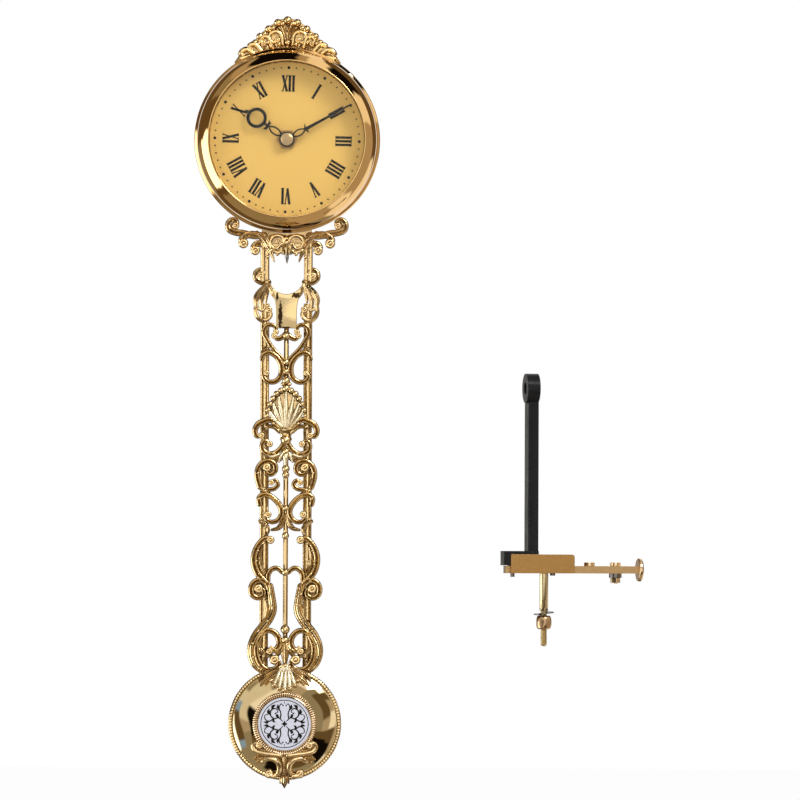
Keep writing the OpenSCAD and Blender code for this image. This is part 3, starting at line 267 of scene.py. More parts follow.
class Relief:
    """Sweeps strokes along their paths into rounded relief, in one mesh."""

    def __init__(self, section: Section, steps: int = 5, widen: float = 1.0) -> None:
        """Keeps the cross-section and the fineness.

        Args:
            section: Cross-section of every stroke.
            steps: Chords between two points of a stroke.
            widen: Factor on the width of every stroke.
        """
        self.section = section
        self.steps = steps
        self.widen = widen

    def profile(self) -> bpy.types.Object:
        """The cross-section as a closed flat curve."""
        data = bpy.data.curves.new("section", "CURVE")
        data.dimensions = "2D"
        spline = data.splines.new("POLY")
        spline.points.add(len(self.section.value) - 1)
        for place, (x, y) in zip(spline.points, self.section.value):
            place.co = (x, y, 0, 1)
        spline.use_cyclic_u = True
        obj = bpy.data.objects.new("section", data)
        bpy.context.scene.collection.objects.link(obj)
        return obj

    def sweep(self, name: str, strokes: Sequence[Stroke], height: object = None,
              mirrored: bool = True, rounded: bool = True) -> bpy.types.Object:
        """Builds the strokes flat on x and y, with their relief along z.

        Args:
            name: Name of the new object.
            strokes: The strokes of one half of the ornament.
            height: Function from a point to its height over the plane, or None.
            mirrored: Whether the other half is made too.
            rounded: Whether plain ends are rounded off.

        Returns:
            The mesh object.
        """
        section = self.profile()
        data = bpy.data.curves.new(name, "CURVE")
        data.dimensions = "3D"
        data.twist_mode = "Z_UP"
        data.bevel_mode = "OBJECT"
        data.bevel_object = section
        data.use_fill_caps = True
        for side in ((1, -1) if mirrored else (1,)):
            for stroke in strokes:
                places = self.outline(stroke, rounded)
                spline = data.splines.new("POLY")
                spline.points.add(len(places) - 1)
                for place, (x, y, half) in zip(spline.points, places):
                    lift = height((x, y)) if height else 0.0
                    place.co = (side * x * MM, y * MM, lift * MM, 1)
                    place.radius = half * MM
        obj = bpy.data.objects.new(name, data)
        bpy.context.scene.collection.objects.link(obj)
        activate(obj)
        bpy.ops.object.convert(target="MESH")
        obj = bpy.context.object
        bpy.data.objects.remove(section)
        return cleaned(obj, 50)

    def outline(self, stroke: Stroke, rounded: bool) -> list[tuple[float, float, float]]:
        """Places along a stroke with the half width at each, ends rounded off."""
        path = smooth_path(stroke.points, self.steps if len(stroke.points) > 2 else 1)
        count = len(path) - 1
        places = [(*p, self.widen * half_width(stroke.widths, i / count)) for i, p in enumerate(path)]
        if not rounded:
            return places
        head, tail = list(places), []
        for ahead, (end, inner) in ((False, (places[0], places[1])), (True, (places[-1], places[-2]))):
            if ahead and stroke.ball:
                continue
            way = (Vector(end[:2]) - Vector(inner[:2])).normalized()
            for out, share in ((0.45, 0.9), (0.8, 0.6), (1.0, 0.12)):
                x, y = Vector(end[:2]) + way * end[2] * out
                tail.append((ahead, (x, y, end[2] * share)))
        root = [p for ahead, p in tail if not ahead]
        tip = [p for ahead, p in tail if ahead]
        return root[::-1] + head + tip


def balls(name: str, places: Sequence[tuple[float, float, float, float]], flat: float = 0.85,
          mirrored: bool = True) -> bpy.types.Object:
    """Round berries and scroll ends, flat on x and y.

    Args:
        name: Name of the joined object.
        places: Centre x, y and z and radius of each, in millimetres.
        flat: Height of a ball as a share of its width.
        mirrored: Whether the other half is made too.

    Returns:
        The joined balls.
    """
    made = []
    for x, y, z, radius in places:
        for side in ((1, -1) if mirrored and abs(x) > 0.05 else (1,)):
            bpy.ops.mesh.primitive_uv_sphere_add(segments=20, ring_count=12, radius=radius * MM,
                                                 location=(side * x * MM, y * MM, z * MM))
            bpy.context.object.scale = (1, 1, flat)
            made.append(baked(bpy.context.object))
    return cleaned(joined(name, made), 60)


def scroll_eyes(name: str, places: Sequence[tuple[float, float, float, float]]) -> bpy.types.Object:
    """Scroll ends: a rolled ring with a bead in its eye, flat on x and y.

    Args:
        name: Name of the joined object.
        places: Centre x, y and z and radius of each on one half, in millimetres.

    Returns:
        The joined scroll ends of both halves.
    """
    made = [balls(name + "_beads", [(x, y, z + 0.25 * r, 0.5 * r) for x, y, z, r in places], 1.0)]
    for x, y, z, radius in places:
        for side in (1, -1):
            bpy.ops.object.select_all(action="DESELECT")
            bpy.ops.mesh.primitive_torus_add(major_segments=24, minor_segments=10, major_radius=0.66 * radius * MM,
                                             minor_radius=0.4 * radius * MM,
                                             location=(side * x * MM, y * MM, z * MM))
            made.append(baked(bpy.context.object))
    return cleaned(joined(name, made), 60)


def relief(name: str, strokes: Sequence[Stroke], section: Section, height: object = None,
           steps: int = 5, widen: float = 1.45) -> bpy.types.Object:
    """Strokes of one cross-section with the scroll eyes at their tips, flat on x and y."""
    parts = [Relief(section, steps, widen).sweep(name, strokes, height)]
    ends = [(*s.points[-1], (height(s.points[-1]) if height else 0) + 0.5, s.ball * 1.15)
            for s in strokes if s.ball]
    if ends:
        parts.append(scroll_eyes(name + "_ends", ends))
    return joined(name, parts)


def lifted(obj: bpy.types.Object, rise: float) -> bpy.types.Object:
    """Moves a flat-drawn part forward by a rise in millimetres."""
    obj.location.z = rise * MM
    return baked(obj)


def slab(name: str, halves: Sequence[Sequence[Point]], lift: float, thick: float = 0.9) -> bpy.types.Object:
    """A flat piece with softened edges, drawn from half outlines that end on the centreline.

    Args:
        name: Name of the piece.
        halves: Half outlines, the first of the rim and the others of holes.
        lift: How far forward of the plane its middle lies, in millimetres.
        thick: Half its thickness without the softened edges, in millimetres.

    Returns:
        The piece, flat on x and y.
    """
    data = bpy.data.curves.new(name, "CURVE")
    data.dimensions, data.fill_mode = "2D", "BOTH"
    data.extrude, data.bevel_depth, data.bevel_resolution = thick * MM, 0.35 * MM, 2
    data.offset = -0.35 * MM
    for half in halves:
        ring = list(half) + [(-x, y) for x, y in reversed(half) if abs(x) > 1e-6]
        spline = data.splines.new("POLY")
        spline.points.add(len(ring) - 1)
        for place, (x, y) in zip(spline.points, ring):
            place.co = (x * MM, y * MM, 0, 1)
        spline.use_cyclic_u = True
    obj = bpy.data.objects.new(name, data)
    bpy.context.scene.collection.objects.link(obj)
    activate(obj)
    bpy.ops.object.convert(target="MESH")
    return lifted(cleaned(bpy.context.object), lift)


def sunk_discs(name: str, places: Sequence[tuple[float, float, float]], lift: float = -1.0) -> bpy.types.Object:
    """Dished grounds behind volutes and flutes, on both sides of the centreline.

    Args:
        name: Name of the joined object.
        places: Centre x and y and radius of each, in millimetres.
        lift: How far forward the dishes' rims lie.

    Returns:
        The joined grounds, flat on x and y.
    """
    made = []
    for x, y, radius in places:
        for side in ((1, -1) if x else (1,)):
            obj = turned(name, [(radius - 0.4, -1.1), (radius, -0.8), (radius, -0.2), (radius - 0.3, 0),
                                (0.6 * radius, -0.35), (0.3, -0.45)], 40)
            obj.location = (side * x * MM, y * MM, lift * MM)
            made.append(baked(obj))
    return joined(name, made)


def refined(node: str, bevel: float = 0.15, angle: float = 30.0, segments: int = 2) -> bpy.types.Object:
    """A merged copy of a CAD node with its edges broken.

    Args:
        node: Name of the CAD node.
        bevel: Width of the broken edges in millimetres, or zero for none.
        angle: Angle above which an edge is broken.
        segments: Steps in each broken edge.

    Returns:
        The copy, which stands for the node.
    """
    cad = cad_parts[node]
    obj = bpy.data.objects.new(node + "_finished", cad.data.copy())
    bpy.context.scene.collection.objects.link(obj)
    obj.data.materials.clear()
    with editing(obj):
        bpy.ops.mesh.remove_doubles(threshold=2e-6)
        bpy.ops.mesh.dissolve_limited(angle_limit=math.radians(0.5))
    if bevel:
        modified(obj, "BEVEL", width=bevel * MM, segments=segments, limit_method="ANGLE",
                 angle_limit=math.radians(angle), harden_normals=False)
    activate(obj)
    bpy.ops.object.shade_smooth_by_angle(angle=math.radians(angle))
    modified(obj, "WEIGHTED_NORMAL", keep_sharp=True, weight=100)
    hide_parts(node)
    return obj


# Shared shader groups


class Nodes:
    """Adds shader nodes to a tree and links them by socket name."""

    def __init__(self, tree: bpy.types.NodeTree) -> None:
        """Keeps the tree."""
        self.tree = tree

    def add(self, kind: str, inputs: dict | None = None, **settings: object) -> bpy.types.Node:
        """Adds a node.

        Args:
            kind: Blender's type name of the node.
            inputs: Values or sockets for its inputs, by name or number.
            settings: The node's own properties.

        Returns:
            The node.
        """
        node = self.tree.nodes.new(kind)
        for key, value in settings.items():
            setattr(node, key, value)
        for key, value in (inputs or {}).items():
            if isinstance(value, bpy.types.NodeSocket):
                self.tree.links.new(value, node.inputs[key])
            else:
                node.inputs[key].default_value = value
        return node

    def math(self, operation: str, a: object, b: object = 0.0, clamp: bool = False) -> bpy.types.NodeSocket:
        """The result of one Math node."""
        return self.add("ShaderNodeMath", {0: a, 1: b}, operation=operation, use_clamp=clamp).outputs[0]

    def span(self, value: object, low: float, high: float, to_low: float = 0.0,
             to_high: float = 1.0) -> bpy.types.NodeSocket:
        """A value moved from one range to another and held there."""
        return self.add("ShaderNodeMapRange", {"Value": value, "From Min": low, "From Max": high,
                                               "To Min": to_low, "To Max": to_high}).outputs[0]

    def mix(self, share: object, a: object, b: object) -> bpy.types.NodeSocket:
        """Two colours mixed."""
        node = self.add("ShaderNodeMix", data_type="RGBA")
        for key, value in ((0, share), (6, a), (7, b)):
            if isinstance(value, bpy.types.NodeSocket):
                self.tree.links.new(value, node.inputs[key])
            else:
                node.inputs[key].default_value = value if key == 0 else (*value, 1)[:4]
        return node.outputs[2]

    def ramp(self, value: object, stops: Sequence[tuple[float, Colour]],
             interpolation: str = "LINEAR") -> bpy.types.NodeSocket:
        """A colour ramp with given stops."""
        node = self.add("ShaderNodeValToRGB", {"Fac": value})
        node.color_ramp.interpolation = interpolation
        elements = node.color_ramp.elements
        elements[0].position, elements[0].color = stops[0][0], (*stops[0][1], 1)
        elements[1].position, elements[1].color = stops[-1][0], (*stops[-1][1], 1)
        for place, colour in stops[1:-1]:
            elements.new(place).color = (*colour, 1)
        return node.outputs["Color"]


class SharedGroups:
    """Shader groups that several finishes use, each built once."""

    _made: dict[str, bpy.types.NodeTree] = {}

    @classmethod
    def start(cls, name: str, inputs: dict[str, float], outputs: Sequence[str]) -> tuple:
        """Makes an empty group with float sockets.

        Args:
            name: Name of the group.
            inputs: Input names and default values.
            outputs: Output names.

        Returns:
            The node helper, the input node and the output node.
        """
        tree = bpy.data.node_groups.new(name, "ShaderNodeTree")
        for key, value in inputs.items():
            tree.interface.new_socket(name=key, in_out="INPUT", socket_type="NodeSocketFloat").default_value = value
        for key in outputs:
            tree.interface.new_socket(name=key, in_out="OUTPUT", socket_type="NodeSocketFloat")
        cls._made[name] = tree
        nodes = Nodes(tree)
        return nodes, nodes.add("NodeGroupInput"), nodes.add("NodeGroupOutput")

    @classmethod
    def patina_and_flank_shade(cls) -> bpy.types.NodeTree:
        """Dark mask: patinated metal further back in the relief, partly painted shade there, and painted shade on
        stroke sides that turn away from the front.
        """
        if "patina_and_flank_shade" in cls._made:
            return cls._made["patina_and_flank_shade"]
        nodes, given, result = cls.start("patina_and_flank_shade", {"Back": 0.0, "Front": 1.0, "Cloud": 900.0,
                                                           "Uneven": 0.5, "FlankShade": 0.6}, ["Mask"])
        place = nodes.add("ShaderNodeTexCoord")
        depth = nodes.add("ShaderNodeSeparateXYZ", {0: place.outputs["Object"]}).outputs["Y"]
        # Partly patinated, partly painted shade: darker the further back the surface lies.
        share = nodes.add("ShaderNodeMapRange", {"Value": depth, "From Min": given.outputs["Front"],
                                                 "From Max": given.outputs["Back"]}).outputs[0]
        # Painted shade: darker where the surface turns sideways, away from the front.
        facing = nodes.math("ABSOLUTE", nodes.add("ShaderNodeSeparateXYZ",
                                                  {0: place.outputs["Normal"]}).outputs["Y"])
        painted_flank_shade = nodes.math("MULTIPLY", nodes.span(facing, 0.42, 0.9, 1.0, 0.0), given.outputs["FlankShade"])
        cloud = nodes.add("ShaderNodeTexNoise", {"Vector": place.outputs["Object"],
                                                 "Scale": given.outputs["Cloud"], "Detail": 3.0}).outputs["Fac"]
        swing = nodes.math("MULTIPLY", nodes.math("SUBTRACT", cloud, 0.5), given.outputs["Uneven"])
        mask = nodes.math("ADD", nodes.math("ADD", share, painted_flank_shade), swing, clamp=True)
        nodes.tree.links.new(mask, result.inputs["Mask"])
        return nodes.tree

    @classmethod
    def fine_wear(cls) -> bpy.types.NodeTree:
        """Hairlines and handling marks: a roughness and a height."""
        if "fine_wear" in cls._made:
            return cls._made["fine_wear"]
        nodes, given, result = cls.start("fine_wear", {"Scale": 400.0, "Low": 0.05, "High": 0.15},
                                         ["Roughness", "Height"])
        place = nodes.add("ShaderNodeTexCoord").outputs["Object"]
        cloud = nodes.add("ShaderNodeTexNoise", {"Vector": place, "Scale": given.outputs["Scale"],
                                                 "Detail": 4.0, "Roughness": 0.6}).outputs["Fac"]
        stretched = nodes.add("ShaderNodeMapping", {"Vector": place, "Scale": (1.0, 1.0, 0.08)}).outputs[0]
        lines = nodes.add("ShaderNodeTexNoise", {"Vector": stretched, "Scale": nodes.math(
            "MULTIPLY", given.outputs["Scale"], 9.0), "Detail": 2.0}).outputs["Fac"]
        blend = nodes.math("ADD", nodes.math("MULTIPLY", cloud, 0.7), nodes.math("MULTIPLY", lines, 0.3))
        rough = nodes.add("ShaderNodeMapRange", {"Value": blend, "From Min": 0.35, "From Max": 0.65,
                                                 "To Min": given.outputs["Low"],
                                                 "To Max": given.outputs["High"]}).outputs[0]
        nodes.tree.links.new(rough, result.inputs["Roughness"])
        nodes.tree.links.new(lines, result.inputs["Height"])
        return nodes.tree

    @classmethod
    def mottle(cls) -> bpy.types.NodeTree:
        """A soft cloud between zero and one, for colour that is never quite even."""
        if "mottle" in cls._made:
            return cls._made["mottle"]
        nodes, given, result = cls.start("mottle", {"Scale": 120.0, "Contrast": 1.0}, ["Mask"])
        place = nodes.add("ShaderNodeTexCoord").outputs["Object"]
        cloud = nodes.add("ShaderNodeTexNoise", {"Vector": place, "Scale": given.outputs["Scale"],
                                                 "Detail": 5.0, "Roughness": 0.55}).outputs["Fac"]
        swing = nodes.math("MULTIPLY", nodes.math("SUBTRACT", cloud, 0.5), given.outputs["Contrast"])
        nodes.tree.links.new(nodes.math("ADD", swing, 0.5, clamp=True), result.inputs["Mask"])
        return nodes.tree


# Finishes


@dataclass(frozen=True)
class Finish:
    """A named surface finish; each kind builds its own node tree once."""

    name: str
    slot: str

    def material(self) -> bpy.types.Material:
        """The finish's material, built the first time it is asked for."""
        found = bpy.data.materials.get(self.name)
        if found:
            return found
        made = bpy.data.materials.new(self.name)
        made.use_nodes = True
        made.node_tree.nodes.clear()
        nodes = Nodes(made.node_tree)
        shader = nodes.add("ShaderNodeBsdfPrincipled")
        output = nodes.add("ShaderNodeOutputMaterial")
        made.node_tree.links.new(self.surface(nodes, shader), output.inputs["Surface"])
        return made

    def surface(self, nodes: Nodes, shader: bpy.types.Node) -> bpy.types.NodeSocket:
        """Wires the shader; returns the socket for the surface."""
        raise NotImplementedError

    def bump(self, nodes: Nodes, shader: bpy.types.Node, height: bpy.types.NodeSocket, strength: float,
             distance: float) -> None:
        """Feeds a height through a Bump node into the shader's normal."""
        node = nodes.add("ShaderNodeBump", {"Strength": strength, "Distance": distance * MM, "Height": height})
        nodes.tree.links.new(node.outputs["Normal"], shader.inputs["Normal"])


@dataclass(frozen=True)
class GoldPlate(Finish):
    """Gold plating over a casting or a spun shell, patinated in its hollows, with painted shade there and on the sides
    of its strokes.
    """

    colour: Colour = (0.96, 0.76, 0.43)
    patina_and_shade_colour: Colour = (0.10, 0.042, 0.011)
    back: float = -0.6
    front: float = -3.2
    patina_and_shade_strength: float = 0.96
    flank_shade: float = 0.9
    rough: Point = (0.06, 0.16)
    ripple: float = 0.6
    cloud: float = 900.0

    def surface(self, nodes: Nodes, shader: bpy.types.Node) -> bpy.types.NodeSocket:
        """Metal whose colour falls to brown in the hollows and on stroke sides: patinated, and painted shade."""
        patina_and_shade_mask = nodes.add("ShaderNodeGroup", node_tree=SharedGroups.patina_and_flank_shade())
        for key, value in (("Back", self.back * MM), ("Front", self.front * MM), ("Cloud", self.cloud),
                           ("Uneven", 0.5), ("FlankShade", self.flank_shade)):
            patina_and_shade_mask.inputs[key].default_value = value
        wear = nodes.add("ShaderNodeGroup", node_tree=SharedGroups.fine_wear())
        for key, value in (("Scale", 500.0), ("Low", self.rough[0]), ("High", self.rough[1])):
            wear.inputs[key].default_value = value
        tint = nodes.add("ShaderNodeGroup", node_tree=SharedGroups.mottle())
        tint.inputs["Scale"].default_value = 160.0
        warm = tuple(c * f for c, f in zip(self.colour, (0.94, 0.86, 0.7)))
        bright = nodes.mix(tint.outputs["Mask"], self.colour, warm)
        # Brown share: patinated hollows plus painted shade on the stroke sides.
        share = nodes.math("MULTIPLY", nodes.math("POWER", patina_and_shade_mask.outputs["Mask"], 1.6), self.patina_and_shade_strength)
        nodes.tree.links.new(nodes.mix(share, bright, self.patina_and_shade_colour), shader.inputs["Base Color"])
        shader.inputs["Metallic"].default_value = 1.0
        dull = nodes.math("ADD", wear.outputs["Roughness"], nodes.math("MULTIPLY", share, 0.22))
        nodes.tree.links.new(dull, shader.inputs["Roughness"])
        place = nodes.add("ShaderNodeTexCoord").outputs["Object"]
        swell = nodes.add("ShaderNodeTexNoise", {"Vector": place, "Scale": 760.0, "Detail": 2.0}).outputs["Fac"]
        if self.ripple:
            self.bump(nodes, shader, swell, self.ripple, 0.25)
        return shader.outputs[0]


@dataclass(frozen=True)
class CordedPlate(GoldPlate):
    """Gold plate on a ring of ribs, with painted shade darkening the grooves between them."""

    ribs: int = 118
    centre_z: float = -276.0

    def surface(self, nodes: Nodes, shader: bpy.types.Node) -> bpy.types.NodeSocket:
        """Gold plate whose colour falls to brown between the ribs, as painted shade."""
        result = super().surface(nodes, shader)
        axes = nodes.add("ShaderNodeSeparateXYZ", {0: nodes.add("ShaderNodeTexCoord").outputs["Object"]})
        up = nodes.math("SUBTRACT", axes.outputs["Z"], self.centre_z * MM)
        turn = nodes.math("MULTIPLY", nodes.math("ARCTAN2", up, axes.outputs["X"]), float(self.ribs))
        # Painted shade in the grooves between the ribs.
        furrow_shade = nodes.span(nodes.math("COSINE", turn), -0.85, -0.1, 0.9, 0.0)
        plain = shader.inputs["Base Color"].links[0].from_socket
        nodes.tree.links.new(nodes.mix(furrow_shade, plain, self.patina_and_shade_colour), shader.inputs["Base Color"])
        return result


@dataclass(frozen=True)
class StreakedPlate(GoldPlate):
    """Polished plate with ragged dark stains, as where the plating has worn through."""

    stains: tuple[tuple[float, float, float, float], ...] = ((-3.6, -31.6, 1.25, 8.6), (6.0, -19.4, 3.4, 1.5),
                                                             (-0.6, -38.6, 3.6, 0.4), (-5.6, -20.4, 0.8, 2.6))

    def surface(self, nodes: Nodes, shader: bpy.types.Node) -> bpy.types.NodeSocket:
        """Gold plate whose colour falls to near black in each ragged oval stain."""
        result = super().surface(nodes, shader)
        place = nodes.add("ShaderNodeTexCoord").outputs["Object"]
        ragged = nodes.add("ShaderNodeTexNoise", {"Vector": place, "Scale": 900.0, "Detail": 4.0}).outputs["Fac"]
        axes = nodes.add("ShaderNodeSeparateXYZ", {0: place})
        stained = None
        for x, z, half_w, half_h in self.stains:
            u = nodes.math("DIVIDE", nodes.math("SUBTRACT", axes.outputs["X"], x * MM), half_w * MM)
            v = nodes.math("DIVIDE", nodes.math("SUBTRACT", axes.outputs["Z"], z * MM), half_h * MM)
            reach = nodes.math("SQRT", nodes.math("ADD", nodes.math("MULTIPLY", u, u), nodes.math("MULTIPLY", v, v)))
            edge = nodes.math("ADD", reach, nodes.math("MULTIPLY", nodes.math("SUBTRACT", ragged, 0.5), 1.7))
            oval = nodes.span(edge, 0.85, 1.1, 1.0, 0.0)
            stained = oval if stained is None else nodes.math("MAXIMUM", stained, oval)
        plain = shader.inputs["Base Color"].links[0].from_socket
        nodes.tree.links.new(nodes.mix(stained, plain, (0.035, 0.02, 0.009)), shader.inputs["Base Color"])
        return result


@dataclass(frozen=True)
class SatinMetal(Finish):
    """Turned, milled or ground metal with a directional grain."""

    colour: Colour = (0.76, 0.56, 0.28)
    rough: Point = (0.24, 0.4)
    stretch: Colour = (1.0, 1.0, 0.05)
    grain: float = 4000.0
    tarnish: float = 0.35

    def surface(self, nodes: Nodes, shader: bpy.types.Node) -> bpy.types.NodeSocket:
        """Metal with grain lines in its roughness and height."""
        place = nodes.add("ShaderNodeTexCoord").outputs["Object"]
        turned_place = nodes.add("ShaderNodeMapping", {"Vector": place, "Scale": self.stretch}).outputs[0]
        lines = nodes.add("ShaderNodeTexNoise", {"Vector": turned_place, "Scale": self.grain,
                                                 "Detail": 3.0}).outputs["Fac"]
        tint = nodes.add("ShaderNodeGroup", node_tree=SharedGroups.mottle())
        tint.inputs["Scale"].default_value = 260.0
        dark = tuple(c * (1 - self.tarnish) * f for c, f in zip(self.colour, (1.0, 0.9, 0.78)))
        share = nodes.math("MULTIPLY", nodes.math("ADD", nodes.math("MULTIPLY", tint.outputs["Mask"], 0.7),
                                                  nodes.math("MULTIPLY", lines, 0.3)), 0.8)
        nodes.tree.links.new(nodes.mix(share, self.colour, dark), shader.inputs["Base Color"])
        shader.inputs["Metallic"].default_value = 1.0
        nodes.tree.links.new(nodes.span(lines, 0.3, 0.7, *self.rough), shader.inputs["Roughness"])
        self.bump(nodes, shader, lines, 0.25, 0.03)
        return shader.outputs[0]


@dataclass(frozen=True)
class DialLacquer(Finish):
    """Satin gold lacquer of the dial plate."""

    colour: Colour = (0.66, 0.395, 0.08)
    pale: Colour = (0.70, 0.43, 0.097)

    def surface(self, nodes: Nodes, shader: bpy.types.Node) -> bpy.types.NodeSocket:
        """A softly uneven lacquer with a faint metallic fleck."""
        tint = nodes.add("ShaderNodeGroup", node_tree=SharedGroups.mottle())
        tint.inputs["Scale"].default_value = 30.0
        place = nodes.add("ShaderNodeTexCoord").outputs["Object"]
        fleck = nodes.add("ShaderNodeTexNoise", {"Vector": place, "Scale": 9000.0}).outputs["Fac"]
        colour = nodes.mix(tint.outputs["Mask"], self.colour, self.pale)
        nodes.tree.links.new(colour, shader.inputs["Base Color"])
        shader.inputs["Metallic"].default_value = 0.25
        nodes.tree.links.new(nodes.span(fleck, 0.3, 0.7, 0.38, 0.5), shader.inputs["Roughness"])
        self.bump(nodes, shader, fleck, 0.1, 0.01)
        return shader.outputs[0]


@dataclass(frozen=True)
class Moulded(Finish):
    """Moulded plastic, rubber or a dipped coating."""

    colour: Colour = (0.02, 0.02, 0.021)
    pale: Colour = (0.035, 0.035, 0.036)
    rough: Point = (0.3, 0.45)
    grain: float = 2500.0
    depth: float = 0.03
    gloss: float = 0.5

    def surface(self, nodes: Nodes, shader: bpy.types.Node) -> bpy.types.NodeSocket:
        """A dielectric with a fine moulded texture and rubbed patches."""
        tint = nodes.add("ShaderNodeGroup", node_tree=SharedGroups.mottle())
        tint.inputs["Scale"].default_value = 90.0
        place = nodes.add("ShaderNodeTexCoord").outputs["Object"]
        pebble = nodes.add("ShaderNodeTexNoise", {"Vector": place, "Scale": self.grain, "Detail": 2.0}).outputs["Fac"]
        nodes.tree.links.new(nodes.mix(tint.outputs["Mask"], self.colour, self.pale), shader.inputs["Base Color"])
        nodes.tree.links.new(nodes.span(tint.outputs["Mask"], 0.3, 0.7, *self.rough), shader.inputs["Roughness"])
        shader.inputs["Specular IOR Level"].default_value = self.gloss
        self.bump(nodes, shader, pebble, 0.3, self.depth)
        return shader.outputs[0]


@dataclass(frozen=True)
class ClearGlass(Finish):
    """Flat clock glass that lets lamp light through to the dial."""

    def surface(self, nodes: Nodes, shader: bpy.types.Node) -> bpy.types.NodeSocket:
        """Plain transmission, with nothing in the way of shadow rays."""
        shader.inputs["Base Color"].default_value = (0.98, 0.99, 0.99, 1)
        shader.inputs["Metallic"].default_value = 0.0
        shader.inputs["Transmission Weight"].default_value = 1.0
        shader.inputs["IOR"].default_value = 1.22
        place = nodes.add("ShaderNodeTexCoord").outputs["Object"]
        smear = nodes.add("ShaderNodeTexNoise", {"Vector": place, "Scale": 60.0, "Detail": 3.0}).outputs["Fac"]
        nodes.tree.links.new(nodes.span(smear, 0.5, 0.8, 0.0, 0.004), shader.inputs["Roughness"])
        path = nodes.add("ShaderNodeLightPath")
        clear = nodes.add("ShaderNodeBsdfTransparent")
        mixed = nodes.add("ShaderNodeMixShader", {0: path.outputs["Is Shadow Ray"], 1: shader.outputs[0],
                                                  2: clear.outputs[0]})
        return mixed.outputs[0]


@dataclass(frozen=True)
class Winding(Finish):
    """Enamelled copper wire wound side by side."""

    colour: Colour = (0.55, 0.20, 0.07)
    axis: Colour = (0.0, 1.0, 0.0)
    pitch: float = 0.25

    def surface(self, nodes: Nodes, shader: bpy.types.Node) -> bpy.types.NodeSocket:
        """Bands of wire across the winding's axis, darker between the turns as painted shade."""
        place = nodes.add("ShaderNodeTexCoord").outputs["Object"]
        along = nodes.add("ShaderNodeVectorMath", {0: place, 1: self.axis}, operation="DOT_PRODUCT").outputs["Value"]
        turns = nodes.math("SINE", nodes.math("MULTIPLY", along, 2 * math.pi / (self.pitch * MM)))
        # Painted shade between the wire turns.
        dark = tuple(c * 0.35 for c in self.colour)
        nodes.tree.links.new(nodes.mix(nodes.span(turns, -1, 1), dark, self.colour), shader.inputs["Base Color"])
        shader.inputs["Metallic"].default_value = 0.8
        shader.inputs["Roughness"].default_value = 0.35
        self.bump(nodes, shader, turns, 0.5, 0.08)
        return shader.outputs[0]


CAST_GOLD = GoldPlate("cast gold plate", "cast_gold")
# Paler, whiter copy of the gold on the palmette's flutes: painted highlight for the white they reflect.
PALMETTE_HIGHLIGHT_GOLD = GoldPlate("flute plate with painted highlight", "cast_gold", colour=(0.98, 0.90, 0.68), back=-1.6, front=-3.3,
                       flank_shade=0.8, rough=(0.16, 0.3))
# Paler, whiter copy of the gold on the bob's shell flutes: painted highlight.
SHELL_HIGHLIGHT_GOLD = GoldPlate("shell plate with painted highlight", "cast_gold", colour=(1.0, 0.93, 0.74), back=-4.6, front=-7.2,
                       flank_shade=0.5, rough=(0.28, 0.42), patina_and_shade_strength=0.9)
YOKE_GOLD = GoldPlate("yoke gold plate", "cast_gold", colour=(0.87, 0.66, 0.36), back=-1.0, front=-3.6)
BUD_GOLD = GoldPlate("block bud gold plate", "cast_gold", back=-8.4, front=-10.4)
BLOCK_GOLD = GoldPlate("needle block plate", "satin_brass", colour=(0.34, 0.21, 0.09), back=-12.0, front=-20.0)
BOSS_GOLD = GoldPlate("bob ornament gold plate", "cast_gold", colour=(0.88, 0.69, 0.41), back=-3.6, front=-7.0, flank_shade=0.7, patina_and_shade_strength=0.9, rough=(0.1, 0.24))
CORD_GOLD = CordedPlate("corded rim gold plate", "cast_gold", flank_shade=0.6, back=-2.4, front=-5.2, ripple=0.0)
RING_GOLD = CordedPlate("corded ring gold plate", "cast_gold", colour=(0.98, 0.78, 0.54), back=-7.6,
                        front=-11.0, ripple=0.0, flank_shade=0.45, patina_and_shade_strength=0.75, ribs=84)
CREST_GOLD = GoldPlate("crest gold plate", "cast_gold", colour=(0.91, 0.68, 0.34), patina_and_shade_colour=(0.2, 0.085, 0.02), back=0.2, front=-2.9, flank_shade=0.85)
TONGUE_GOLD = StreakedPlate("polished tongue plate", "cast_gold", colour=(0.57, 0.46, 0.265), flank_shade=0.5, patina_and_shade_strength=0.5, rough=(0.04, 0.12),
                            ripple=0.08)
BEZEL_GOLD = GoldPlate("polished bezel plate", "bezel_brass", patina_and_shade_strength=0.0, flank_shade=0.0, rough=(0.02, 0.05), ripple=0.0,
                       colour=(0.83, 0.575, 0.27))
DOME_GOLD = GoldPlate("mirror dome plate", "bob_gold", patina_and_shade_strength=0.0, flank_shade=0.0, rough=(0.015, 0.04), ripple=0.0,
                      colour=(0.80, 0.68, 0.44))
SPUN = SatinMetal("gold lacquered spun steel", "spun_brass", colour=(0.74, 0.55, 0.26), rough=(0.2, 0.32),
                  grain=1500.0, stretch=(1.0, 1.0, 1.0))
BRASS = SatinMetal("satin brass", "satin_brass", colour=(0.44, 0.255, 0.09), stretch=(0.05, 0.05, 1.0))
BAR_BRASS = SatinMetal("drawn brass bar", "satin_brass", colour=(0.53, 0.36, 0.178), stretch=(0.05, 1.0, 1.0))
BRIGHT_BRASS = SatinMetal("polished brass", "satin_brass", colour=(0.84, 0.64, 0.40), tarnish=0.25, rough=(0.12, 0.22))
STEEL = SatinMetal("nickel plated steel", "steel", colour=(0.62, 0.62, 0.63), tarnish=0.25, rough=(0.18, 0.3))
DARK_STEEL = SatinMetal("darkened steel", "steel", colour=(0.2, 0.19, 0.18), tarnish=0.4, rough=(0.2, 0.34))
NEEDLE = SatinMetal("ground needle steel", "needle_steel", colour=(0.42, 0.43, 0.45), tarnish=0.3,
                    rough=(0.2, 0.3))
